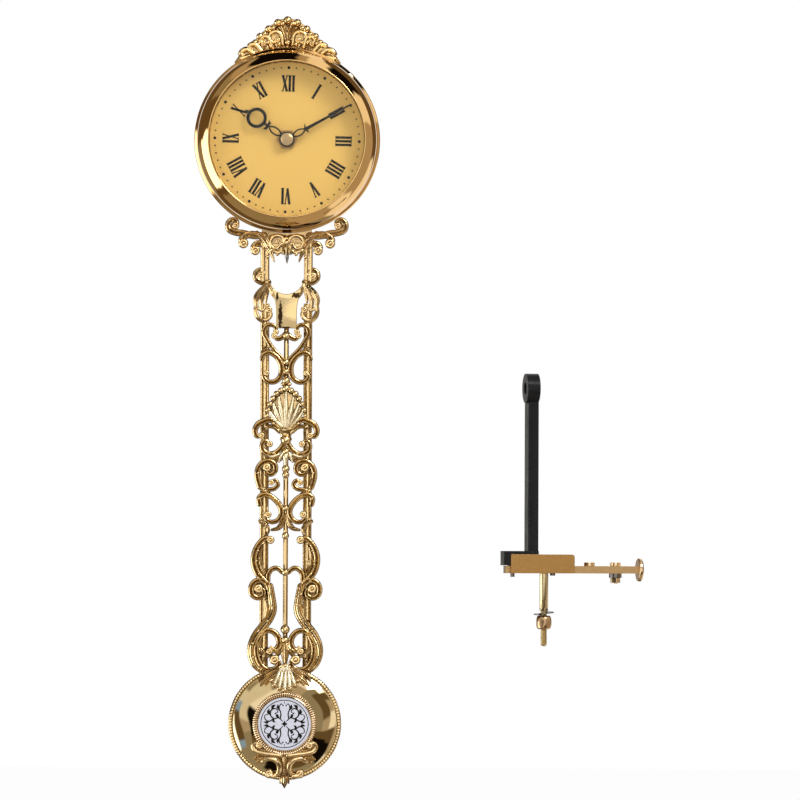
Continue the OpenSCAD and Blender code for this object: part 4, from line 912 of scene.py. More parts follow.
WEIGHT = SatinMetal("plain weight steel", "plain_steel", colour=(0.34, 0.33, 0.32), rough=(0.35, 0.55))
CORE = SatinMetal("laminated core steel", "core_steel", colour=(0.5, 0.52, 0.55))
MAGNET = SatinMetal("sintered magnet", "magnet_grey", colour=(0.16, 0.16, 0.17), rough=(0.35, 0.55), tarnish=0.4)
DIAL = DialLacquer("dial lacquer", "dial_gold")
GLASS = ClearGlass("clock glass", "glass")
BLACK = Moulded("black moulding", "black_plastic")
ARM_BLACK = Moulded("satin black arm moulding", "black_plastic", colour=(0.015, 0.0155, 0.0165),
                    pale=(0.007, 0.007, 0.007), rough=(0.24, 0.36), gloss=0.11)
WHITE = Moulded("white nylon", "white_plastic", colour=(0.72, 0.70, 0.62), pale=(0.8, 0.78, 0.7))
RUBBER = Moulded("soft rubber", "rubber_black", colour=(0.02, 0.02, 0.02), rough=(0.6, 0.8))
BOARD = Moulded("green solder mask", "board_green", colour=(0.02, 0.14, 0.05), pale=(0.03, 0.2, 0.07))
CELL = Moulded("cell wrapper", "cell_wrap", colour=(0.02, 0.02, 0.025), pale=(0.06, 0.05, 0.04), rough=(0.2, 0.3))
HAND = Moulded("black hand lacquer", "hand_black", colour=(0.006, 0.005, 0.004), pale=(0.012, 0.01, 0.008),
               rough=(0.3, 0.45), depth=0.01, gloss=0.14)
INK = Moulded("dial ink", "hand_black", colour=(0.006, 0.005, 0.004), pale=(0.01, 0.008, 0.006), depth=0.004,
             gloss=0.1)
ENAMEL = Moulded("white enamel", "medallion_white", colour=(0.60, 0.61, 0.69), pale=(0.66, 0.67, 0.75),
                 rough=(0.18, 0.28), depth=0.004)
COPPER = Winding("enamelled copper winding", "copper")


def finished(obj: bpy.types.Object, finish: Finish, body: Body | None = None,
             replaces: Sequence[str] = ()) -> bpy.types.Object:
    """Dresses a piece, hangs it on its body and reports it.

    Args:
        obj: The piece, or a CAD node's object.
        finish: Its finish.
        body: The CAD body that carries a new piece, or None for a CAD node.
        replaces: CAD nodes that the piece stands for.

    Returns:
        The same object.
    """
    obj.data.materials.clear()
    obj.data.materials.append(finish.material())
    if body is not None:
        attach(obj, body.value)
    if replaces:
        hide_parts(*replaces)
    LOG.info("%s: %d faces, %s", obj.name, len(obj.data.polygons), finish.name)
    return obj


def dressed(finish: Finish, *nodes: str) -> None:
    """Gives CAD nodes whose shape is right their finish."""
    for node in nodes:
        finished(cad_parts[node], finish)


# The clock's sub-assemblies


@dataclass
class Head:
    """Bezel, glass, dial, hands, crest and the shells behind the dial."""

    centre: float = 73.8
    bezel_r: float = 55.8
    opening_r: float = 46.5
    bezel_depth: float = 21.0
    dial_front: float = 7.0
    dial_turn: float = 1.3
    numeral_r: float = 33.85
    numeral_h: float = 9.6
    dots_r: float = 43.3
    letters: dict[str, tuple[float, tuple]] = field(default_factory=lambda: {
        "I": (0.23, ((0, 0.49, 0, -0.49, 0.155), (-0.105, 0.485, 0.105, 0.48, 0.06),
                     (-0.105, -0.485, 0.105, -0.48, 0.06))),
        "V": (0.37, ((-0.13, 0.48, 0.01, -0.49, 0.155), (0.13, 0.48, 0.01, -0.49, 0.075),
                     (-0.21, 0.485, -0.04, 0.48, 0.06), (0.06, 0.485, 0.2, 0.48, 0.06))),
        "X": (0.385, ((-0.13, 0.48, 0.13, -0.48, 0.155), (0.13, 0.48, -0.13, -0.48, 0.075),
                      (-0.2, 0.485, -0.03, 0.48, 0.06), (0.06, 0.485, 0.2, 0.48, 0.06),
                      (0.03, -0.485, 0.2, -0.48, 0.06), (-0.2, -0.485, -0.06, -0.48, 0.06)))})

    def build(self) -> None:
        """Makes and dresses the whole head."""
        self.bezel()
        self.dial()
        self.hands()
        self.crest()
        self.shells()

    def place(self, obj: bpy.types.Object) -> bpy.types.Object:
        """Stands a piece drawn around the head's axis in its place."""
        return faced(obj, (0, 0, self.centre))

    def bezel(self) -> None:
        """The spun bezel: rolled lip, broad polished band and thin inner step."""
        outer = [(self.bezel_r - 1.1, 0), (self.bezel_r - 0.3, 0), (self.bezel_r, 0.4),
                 *arc((self.bezel_r - 0.9, 2.4), (0.9, 1.7), 0, 80, 6), (self.bezel_r - 1.7, 4.6), *self.band(),
                 (self.opening_r + 0.35, self.bezel_depth - 0.02), (self.opening_r + 0.1, self.bezel_depth - 0.14),
                 (self.opening_r, self.bezel_depth - 0.4),
                 (self.opening_r, 17.05), (self.opening_r + 1.05, 17.05), (self.opening_r + 1.05, 15.5),
                 (self.bezel_r - 2.4, 9), (self.bezel_r - 1.1, 3.4)]
        obj = self.place(turned("bezel_shell", outer, 256, closed=True))
        finished(obj, BEZEL_GOLD, Body.CLOCK, ["bezel"])
        dressed(GLASS, "glass")
        dressed(SPUN, "dial_spacer")

    def band(self) -> list[Point]:
        """The polished band's section, from its outer foot up to the opening, evenly curved."""
        points, r, height = [], self.opening_r + 0.6, self.bezel_depth
        for tilt in range(28, 84):
            points.append((r, height))
            step = 5.1 / 35 if tilt < 63 else 1.8 / 21
            r += step
            height -= step * math.tan(math.radians(tilt + 0.5))
        return points[::-1]

    def numeral(self, word: str, hour: int) -> list[Stroke]:
        """Strokes of one numeral, its top away from the centre."""
        wide = sum(self.letters[c][0] for c in word)
        angle = math.radians(hour * 30)
        strokes, left = [], -wide / 2
        for c in word:
            advance, bars = self.letters[c]
            for x0, y0, x1, y1, width in bars:
                ends = []
                for x, y in ((x0, y0), (x1, y1)):
                    u, v = (left + advance / 2 + x) * self.numeral_h, self.numeral_r + y * self.numeral_h
                    ends.append((v * math.sin(angle) + u * math.cos(angle),
                                 v * math.cos(angle) - u * math.sin(angle)))
                strokes.append(Stroke(tuple(ends), (width * self.numeral_h,) * 3))
            left += advance
        return strokes

    def dial(self) -> None:
        """The lacquered plate with its numerals and minute dots."""
        dressed(DIAL, "dial")
        words = ("XII", "I", "II", "III", "IIII", "V", "VI", "VII", "VIII", "IX", "X", "XI")
        strokes = [s for hour, word in enumerate(words) for s in self.numeral(word, hour)]
        parts = [Relief(Section.FLAT, 1).sweep("numerals", strokes, mirrored=False, rounded=False)]
        for minute in range(60):
            angle = math.radians(minute * 6)
            radius = 0.9 if minute % 5 == 0 else 0.5
            bpy.ops.mesh.primitive_cylinder_add(
                vertices=16, radius=radius * MM, depth=0.03 * MM,
                location=(self.dots_r * math.sin(angle) * MM, self.dots_r * math.cos(angle) * MM, 0.015 * MM))
            parts.append(baked(bpy.context.object))
        obj = joined("dial_print", parts)
        obj.rotation_euler = (0, 0, -math.radians(self.dial_turn))
        baked(obj)
        finished(faced(obj, (0, -self.dial_front - 0.005, self.centre)), INK, Body.CLOCK)

    def hands(self) -> None:
        """Hands with softened edges, and the turned cap."""
        for node, body in (("hour_hand", Body.HOUR), ("minute_hand", Body.MINUTE)):
            obj = refined(node, 0.06)
            with editing(obj):
                bpy.ops.transform.shrink_fatten(value=0.09 * MM)
            finished(obj, HAND, body)
        collar = turned("cap_collar", [(3.5, 12.3), (4.35, 12.3), (4.35, 12.8), (3.5, 12.9)], 64, closed=True)
        finished(self.place(collar), HAND, Body.MINUTE)
        cap = [(3.3, 12.5), (3.75, 12.6), (3.8, 12.9), (3.7, 13.15), (3.1, 13.4), (2.2, 13.66), (1.2, 13.8),
               (0.4, 13.84)]
        obj = self.place(turned("hand_cap_disc", cap, 64))
        finished(obj, BAR_BRASS, Body.MINUTE, ["hand_cap"])

    def crest(self) -> None:
        """The crest: a fan of petals and berries, rosettes, and sprays along the bezel."""
        top = self.centre + self.bezel_r
        fan = [Stroke(((0, 4.5), (0, 9), (0, 14.6)), (1.6, 3, 2.2)),
               Stroke(((0.7, 4.5), (2, 9), (3.8, 13.4)), (1.4, 2.8, 2)),
               Stroke(((1.2, 4.5), (3.8, 8.6), (6.6, 12)), (1.4, 2.6, 1.8)),
               *[Stroke(((x, -1.8), (x * 1.04, 0.6), (x * 1.08 + 0.4, 2.8)), (2, 2.6, 1.6))
                 for x in (1.7, 4.8, 8, 11.2, 14.4)]]
        scrolls = [Stroke(((3, 2.6), (3.6, 7.6), (6.6, 10.2), (10.2, 9), (11, 5.8), (8.6, 3.6), (6.2, 5)),
                          (1.7, 1.9, 1.3), 1.6),
                   Stroke(((9.6, 1), (11.2, 6), (14.2, 7.2), (16.2, 4.8), (14.6, 2.8)), (1.8, 2, 1.6), 1.4),
                   Stroke(((15.8, -1.4), (19.6, 2.4), (22.8, 1.4), (22, -0.8)), (2.2, 2.4, 1.8), 1.3),
                   Stroke(((20.4, -3), (24.6, -0.6), (28, -2.6), (26.8, -4.4)), (2.2, 2.4, 1.8), 1.2),
                   Stroke(((23.4, -5), (28, -6.2), (31.4, -8.6)), (2.4, 2.6, 0.8))]
        berries = [(0, 16.9, 0.2, 2.5), (5.8, 15.4, 0.1, 2.4), (11.4, 11.6, 0, 2.3), (16.6, 7.2, -0.1, 2.2),
                   (3, 14.9, 0.6, 1.5), (8.7, 12.2, 0.6, 1.5), (13.8, 8.6, 0.5, 1.4), (19.6, 3.6, -0.3, 1.8),
                   (22.8, 1.8, -0.4, 1.5), (25.8, -0.6, -0.5, 1.3), (0, 3.6, 1, 1.7), (5, 2.6, 0.8, 1.2),
                   (11.8, 3.6, 0.8, 1.2), (17.4, 3, 0.3, 1.2), (28.8, -3.2, -0.5, 1.1)]
        parts = [relief("crest_fan", fan, Section.LEAF, widen=1.2), relief("crest_scrolls", scrolls, Section.ROUND),
                 balls("crest_berries", berries, 0.9)]
        mound = [(0, 18.4), (4, 17.6), (7.4, 15.8), (12.4, 12.4), (17.4, 7.8), (21, 3.4), (26, -0.6), (29.4, -4.4),
                 (31.2, -8.2), (24, -4.6), (12, -1.6), (0, -1.8)]
        parts += [slab("crest_ground", [mound], -1.5, 0.7),
                  sunk_discs("rosette_ground", [(7.2, 6.6, 3.6), (13.6, 4.4, 2.6)], 0.2)]
        obj = faced(joined("crest_relief", parts), (0, -1.2, top - 0.5))
        finished(obj, CREST_GOLD, Body.CLOCK, ["crest_ornament"])

    def shells(self) -> None:
        """Plate, drum, back cover and their screws."""
        finished(refined("head_plate", 0.2), SPUN, Body.CLOCK)
        finished(refined("drum", 0.25), SPUN, Body.CLOCK)
        finished(refined("back_cover", 0.2), SPUN, Body.CLOCK)
        finished(refined("cover_screws", 0.1), STEEL, Body.CLOCK)
        finished(refined("yoke_screws", 0.1), STEEL, Body.CLOCK)


@dataclass
class Yoke:
    """The casting under the head, with the needle block and its needles."""

    window_half: float = 10.4
    window_low: float = -18.6
    pillar_w: float = 5.4
    tongue_low: float = -39.2
    block_front: float = 9.6
    apron: tuple[Stroke, ...] = (
        Stroke(((13.4, 16.6), (20, 16.4), (26, 17.8), (30.6, 18.4), (34.4, 20.2), (35, 23.8), (32.6, 26),
                (30, 24.6), (30.6, 22.4)), (2.9, 2.9, 1.9), 1.8),
        Stroke(((13.2, 13.6), (16.4, 16.4), (20.6, 17.2), (24.6, 16.4), (27.2, 14), (26, 11.8)), (2.8, 3, 2.4), 2.5),
        Stroke(((12.6, 8.6), (15, 11.2), (17.8, 11.6), (20, 9.6), (18.8, 7.6)), (2.6, 2.8, 2.2), 2.4),
        Stroke(((10.8, -11.4), (15, -11.6), (18.2, -9.4), (18.2, -5.8), (15.4, -4.2), (13.6, -6.4), (15.6, -7.8)),
               (2.4, 2.5, 1.9), 1.9),
        Stroke(((0, 15.8), (4.4, 16.4), (9.4, 16), (13.4, 13.6)), (1.2, 1.6, 1.1)))
    volutes: tuple[Stroke, ...] = (
        Stroke(((1.3, 6.6), (0.9, 11.6), (3, 15.8), (7, 16.4), (9.8, 13.2), (8.6, 9.6), (5.4, 9), (3.8, 11.4),
                (5.6, 12.9)), (1.4, 1.5, 1.1), 1.1),
        Stroke(((2.6, 8.2), (4.6, 6.4), (7.4, 7), (8.6, 8.6)), (1.4, 1.8, 1)))
    leaves: tuple[Stroke, ...] = (
        Stroke(((17.8, 18.2), (14.8, 15), (11.6, 10.6), (9, 5.2), (7.4, 0.9)), (1.8, 2.8, 0.6)),
        Stroke(((13.4, 16.8), (11.4, 12.8), (9.2, 8.2)), (1.2, 2, 1)),
        Stroke(((11.2, -12.6), (16, -17.2), (18.4, -22), (18, -26.4)), (1.8, 2.7, 1.6)),
        Stroke(((10.8, -13), (13.8, -18.4), (15.2, -23), (15, -27.2)), (1.6, 2.2, 1.4)),
        Stroke(((10.4, -13.4), (11.8, -18.2), (12.4, -23.4)), (1.2, 1.8, 1)),
        Stroke(((10.2, -14.8), (8.2, -18.2), (6.8, -21.2)), (1.4, 2, 0.9)),
        Stroke(((18.2, -24.8), (18.4, -29.4), (16.6, -33.2), (13.8, -35.2)), (1.6, 2.2, 1.5)))
    curls: tuple[Stroke, ...] = (
        Stroke(((15.4, -34), (11.6, -33.8), (9.4, -31), (10.6, -28)), (1.5, 1.8, 1.4), 1.7),
        Stroke(((17.8, -26.6), (14.6, -28.2), (12.4, -26.2)), (1.3, 1.6, 1), 1.1))

    def build(self) -> None:
        """Makes and dresses the yoke."""
        parts = [slab("apron_ground", self.ground(), -1.9),
                 slab("window_frame", self.frame(), -1.7),
                 relief("apron", self.apron, Section.GROOVED),
                 lifted(relief("volutes", self.volutes, Section.ROUND), 0.9),
                 lifted(relief("yoke_leaves", self.leaves, Section.LEAF), 0.7),
                 relief("yoke_curls", self.curls, Section.ROUND),
                 lifted(self.pillars(), 0.2),
                 balls("yoke_lumps", [(0, 14.6, 1, 1.5), (0, 11.2, 3.6, 1.6), (2.4, 8.8, 3.6, 1.5), (0, 6.6, 3.4, 1.4),
                                      (5.6, 5.4, 1, 1.2), (9.2, 7.6, 1, 1.4), (11.4, 3.6, 1.2, 1.2)], 0.9),
                 sunk_discs("volute_ground", [(5.6, 12.4, 4), (16, -7.6, 2.6), (32.4, 22.6, 3)], -0.8)]
        obj = faced(joined("yoke_relief", parts), (0, -2.4, 0))
        finished(obj, YOKE_GOLD, Body.CLOCK, ["yoke_casting"])
        obj.visible_glossy = False
        finished(faced(slab("tongue_plate", self.tongue(), 0.3), (0, -2.4, 0)), TONGUE_GOLD, Body.CLOCK)
        finished(refined("needle_block", 0.5), BLOCK_GOLD, Body.CLOCK)
        bud = [Stroke(((0, 12), (0, 8.6), (0, 4.8)), (1.6, 2.6, 0.8)),
               Stroke(((0.8, 11.4), (2.4, 9.4), (3, 6.2)), (1.4, 2.2, 0.8)),
               Stroke(((0.6, 9), (1.8, 7), (1.9, 4.9)), (1, 1.7, 0.7))]
        parts = [relief("bud_leaves", bud, Section.LEAF, widen=1.1),
                 balls("bud_beads", [(0, 12, 0.2, 1.3), (2.7, 11.2, 0, 1)], 0.8)]
        obj = faced(joined("block_bud", parts), (0, -self.block_front, 0))
        finished(obj, BUD_GOLD, Body.CLOCK)
        dressed(NEEDLE, "pivot_needles")

    def pillars(self) -> bpy.types.Object:
        """Two round bars on each side of the window."""
        outer, inner = self.window_half + 3.9, self.window_half + 1.3
        strokes = [Stroke(((outer, 12), (outer, -11)), (2.7,) * 3), Stroke(((inner, 10), (inner, -12)), (2.1,) * 3)]
        return Relief(Section.ROUND, 1).sweep("pillars", strokes, rounded=False)

    def ground(self) -> list[list[Point]]:
        """Half outlines of the sunk ground behind the apron's scrolls."""
        return [[(0, 24.5), (14, 24.5), (15.4, 17), (15.2, 9.6), (15, 5.4), (9.6, 5.4), (8.4, 7.6), (0, 7.4)]]

    def frame(self) -> list[list[Point]]:
        """Half outlines of the frame round the window: its rim and its hole."""
        arc_z = self.window_low + self.window_half
        rim = [(0, 12), (self.window_half + 4.6, 12),
               *arc((0, arc_z), (self.window_half + 4.6, self.window_half + 1.6), 0, -90, 16)]
        return [rim, [(0, 5.8), (self.window_half, 5.8), *arc((0, arc_z), (self.window_half,) * 2, 0, -90, 16)]]

    def tongue(self) -> list[list[Point]]:
        """Half outline of the polished tongue below the window."""
        arc_z = self.window_low + self.window_half
        return [[*arc((0, arc_z), (self.window_half,) * 2, -90, -38, 8), (8.9, -17.2), (7.2, -21.4), (6.4, -26),
                 (6.2, -31), (6.2, self.tongue_low), (0, self.tongue_low)]]


@dataclass
class Rod:
    """Rails, centre rod and scrollwork between the yoke and the bob."""

    rail_x: float = 12.9
    rail_w: float = 5.2
    top: float = -24.1
    low: float = -256.0
    scrolls: tuple[Stroke, ...] = (
        Stroke(((1.6, -58), (8, -51.3), (11.8, -45.5), (13.5, -41.7), (12.4, -38.4), (9.3, -37), (6.6, -38.4),
                (6.3, -41.4)), (1.8, 2.1, 1.6), 1.5),
        Stroke(((0.4, -42.6), (2.8, -44.6), (5.5, -45.4), (7.3, -43.6)), (2.4, 2.2, 1.6), 1.5),
        Stroke(((14.7, -57.5), (13.5, -54.9), (10.2, -53.7), (6, -56), (3.2, -60.2), (2.6, -64.8), (4.1, -69),
                (7.5, -71.3), (11.4, -70.8), (13.5, -68), (11.8, -66)), (1.8, 2.6, 1.6), 1.5),
        Stroke(((2.6, -98.8), (6, -96), (10, -94), (13.5, -95), (17, -97), (18.6, -100.5), (17.4, -103.8),
                (14.6, -103.4)), (2.4, 2.8, 1.8), 1.6),
        Stroke(((0.8, -107.6), (3.2, -111.4), (6.5, -114), (10.4, -114.5), (13.6, -112.4), (14.3, -109),
                (12.4, -106.6), (9.7, -108.6)), (2.4, 2.4, 1.6), 1.6),
        Stroke(((15.4, -134.4), (17.1, -128.4), (16.7, -123.4), (14.2, -120), (10.4, -118.7), (6.8, -120.6),
                (6.2, -124.4), (8.8, -126.8), (12, -125.8), (11.4, -122.6)), (2.4, 2.4, 1.6), 2.2),
        Stroke(((14, -137), (10.4, -136), (6.9, -135.3), (4.7, -132.9), (6.3, -130.4), (8.6, -131.6)),
               (1.8, 2, 1.6), 1.5),
        Stroke(((15.6, -144.6), (16, -141), (13.6, -139), (10, -139.4), (6, -142.2), (3, -146.4), (2.5, -150.6),
                (4.7, -154.2), (8.6, -155.3), (11.6, -153.3), (10.6, -150.8)), (2.2, 2.5, 1.6), 1.8),
        Stroke(((11.6, -191.8), (14.8, -188.4), (17.6, -184.2), (18.9, -178.6), (18.3, -173.4), (16, -168.6),
                (12.4, -165.2), (9, -166)), (3, 2.7, 2.2), 2),
        Stroke(((10.4, -190.8), (10.1, -186.6), (8, -183.6), (4.8, -183), (1.8, -185.4)), (2, 2.2, 2)),
        Stroke(((9.6, -195.6), (11, -191.8), (14.4, -190.2), (18.2, -191), (20.4, -194.4), (19.8, -198.8),
                (16.4, -200.8), (13.2, -199.2), (13.2, -196), (16, -195.2)), (2.4, 2.5, 1.6), 2.3),
        Stroke(((14.2, -222.6), (16.8, -228.6), (17.1, -234), (15.6, -239.1), (12.6, -242.7), (8.7, -243.8),
                (5.1, -242.4), (3.6, -239.4), (6.3, -237.8)), (2, 2.4, 2), 2.5),
        Stroke(((13.9, -222.3), (10.9, -220.3), (7, -221.1), (4.1, -224.4), (3.7, -228.6), (6, -231.9),
                (9.3, -232.8)), (2.2, 2.6, 2), 1.7),
        Stroke(((0.4, -228.4), (2.6, -231.4), (5.4, -232.8), (8.2, -231)), (1.8, 2.4, 1.6), 1.3))
    leaves: tuple[Stroke, ...] = (
        Stroke(((14.5, -54), (12.5, -51), (10.2, -53)), (1.6, 1.6, 1.6)),
        Stroke(((4, -101), (7, -98.5), (10.5, -98), (13.1, -100.5), (13.5, -105)), (1.8, 1.8, 1.8)),
        Stroke(((1.5, -115.5), (4.6, -117.6), (8.8, -117.4), (12.3, -115.4)), (2.4, 2.6, 1.2)),
        Stroke(((14.4, -135), (9.7, -139), (5.5, -142.8), (3, -146.4)), (2.2, 2, 1.8)),
        Stroke(((0.8, -151.2), (2.1, -156), (4.5, -159), (8.1, -160)), (1.8, 2.4, 1.2)),
        Stroke(((15.3, -154.8), (12.3, -157), (10.5, -160.2), (12, -163.8)), (1.8, 2.2, 1.2)),
        Stroke(((14.4, -170.5), (15.4, -176), (14.9, -181.2), (12.8, -186.6)), (1.2, 2.4, 1.8)),
        Stroke(((9.3, -193.8), (8.1, -201), (7.5, -207.6), (9.5, -213), (13.6, -218.4), (17.6, -223.8),
                (20.1, -229.8), (20.2, -235.8), (17.8, -241.2), (13.6, -244.8)), (3, 4, 2.4)),
        Stroke(((11.9, -202.2), (11, -207.6), (11.8, -212.4)), (1.2, 2.4, 1.2)),
        Stroke(((0.7, -226.8), (2.5, -231.6), (5.2, -235.8)), (2.4, 2.8, 1.4)),
        Stroke(((0, -229), (0, -234), (0, -240.6)), (2.6, 3.6, 1.6)),
        Stroke(((17.6, -226), (15.2, -231.4), (12.4, -234.6), (13.4, -238.6)), (1.6, 2.6, 1.4)))
    tufts: tuple[Point, ...] = ((16.4, -172.4), (17.4, -178.8), (15.4, -186.2), (13.2, -168), (9.4, -198.4),
                                (8.6, -205.4), (10.4, -214.6), (16, -220.6), (19, -228), (19.2, -236.4), (14.2, -243.6),
                                (12.2, -98.2), (7.4, -96.2), (16.6, -126), (15.8, -141.2), (14.6, -153.6))
    petals: tuple[Stroke, ...] = (
        Stroke(((0, -98.6), (0, -88), (0, -77.6)), (1.4, 3.2, 1.6)),
        Stroke(((0.9, -98.6), (2.8, -89), (4.4, -80.6)), (1.2, 3, 1.6)),
        Stroke(((1.6, -98.6), (5.2, -91.2), (7.7, -84.6)), (1.2, 2.9, 1.6)),
        Stroke(((2.2, -98.8), (6.8, -93.8), (9.8, -89.2)), (1.2, 2.6, 1.4)),
        Stroke(((0, -111.4), (0, -116), (0, -121)), (1.6, 3.8, 2)),
        Stroke(((1, -112.6), (3, -116), (4, -119.2)), (1.4, 2.2, 1.2)),
        Stroke(((4.6, -114.8), (8.2, -116), (12, -115)), (2, 2.2, 1.4)))
    beads: tuple[tuple[float, float, float], ...] = (
        (0, -75.2, 2.3), (3.1, -76.4, 1.8), (5.7, -78.4, 1.9), (7.9, -81.2, 1.8), (9.6, -84.6, 1.8),
        (10.8, -88.2, 1.7), (11.4, -91.6, 1.4), (2, -72.6, 1.3), (7.2, -114, 1.1), (10.2, -113.6, 1.1))
    knots: tuple[Point, ...] = ((-43.5, 2.4), (-59.5, 1.9), (-65, 2.2), (-70.5, 2.4), (-106, 3.2), (-113, 2.2),
                                (-123.4, 2.4), (-127, 2.2), (-147, 1.8), (-163.5, 2.2), (-185.4, 2.2), (-219.6, 2.8),
                                (-226, 2.2))

    def build(self) -> None:
        """Makes and dresses the rod."""
        self.rails()
        self.centre()
        parts = [relief("rod_scrolls", self.scrolls, Section.GROOVED),
                 relief("rod_leaves", self.leaves, Section.LEAF),
                 balls("rod_knots", [(0, z, 0.5, r) for z, r in self.knots], 0.95),
                 balls("rod_beads", [(x, z, 0.4, r) for x, z, r in self.beads], 0.95),
                 balls("rod_tufts", [(x, z, 1.3, 0.85) for x, z in self.tufts], 0.9),
                 self.ground(), self.cup(),
                 sunk_discs("rod_volutes", [(10.6, -122.6, 4.4), (15.8, -195.8, 4.6), (10.4, -233.6, 3.2)], -1.1)]
        obj = faced(joined("rod_relief", parts), (0, -2.3, 0))
        finished(obj, CAST_GOLD, Body.CLOCK, ["rod_scrollwork"])
        obj = faced(lifted(relief("rod_palmette", self.petals, Section.ROUND, widen=1.05), 0.5), (0, -2.3, 0))
        finished(obj, PALMETTE_HIGHLIGHT_GOLD, Body.CLOCK)

    def rails(self) -> None:
        """Two drawn rails with a bead along each edge."""
        stroke = Stroke(((self.rail_x, self.top), (self.rail_x, self.low)), (self.rail_w,) * 3)
        obj = Relief(Section.RAIL, 1).sweep("moulded_rails", [stroke], rounded=False)
        obj = faced(obj, (0, 0.9, 0))
        finished(obj, GoldPlate("rail gold plate", "cast_gold", back=1.6, front=-0.8, patina_and_shade_strength=0.7), Body.CLOCK,
                 ["side_rails"])

    def centre(self) -> None:
        """The round centre rod."""
        bpy.ops.mesh.primitive_cylinder_add(vertices=40, radius=1.5 * MM, depth=(self.top - self.low) * MM,
                                            location=(0, 0.6 * MM, (self.top + self.low) / 2 * MM))
        obj = baked(bpy.context.object)
        obj.name = "centre_bar"
        modified(obj, "BEVEL", width=0.2 * MM, segments=2, limit_method="ANGLE")
        finished(cleaned(obj), GoldPlate("centre rod gold plate", "cast_gold", back=2.0, front=-0.9, patina_and_shade_strength=0.5,
                                         ripple=0.05), Body.CLOCK, ["centre_rod"])

    def ground(self) -> bpy.types.Object:
        """The sunk ground behind the palmette's flutes."""
        obj = turned("palmette_ground", [(9, -2.2), (10, -1.8), (10, -1.1), (9.4, -0.8), (0.5, -0.7)], 48)
        obj.scale = (1, 1.14, 1)
        obj.location = (0, -87.5 * MM, 0)
        return baked(obj)

    def cup(self) -> bpy.types.Object:
        """The turned cup and collars under the palmette."""
        profile = [(0.6, 1.2), (4.6, 1.0), (5.6, 0.2), (5.2, -0.8), (4.2, -1.6), (3.4, -3.2), (3, -4.6), (3.6, -5.4),
                   (3.6, -6.2), (2.8, -7), (2.9, -7.8), (0.6, -8.2)]
        obj = turned("cup", profile, 48)
        obj.scale = (1, 0.42, 1)
        obj.rotation_euler = (-math.pi / 2, 0, 0)
        obj.location = (0, -99.8 * MM, 0)
        return baked(obj)


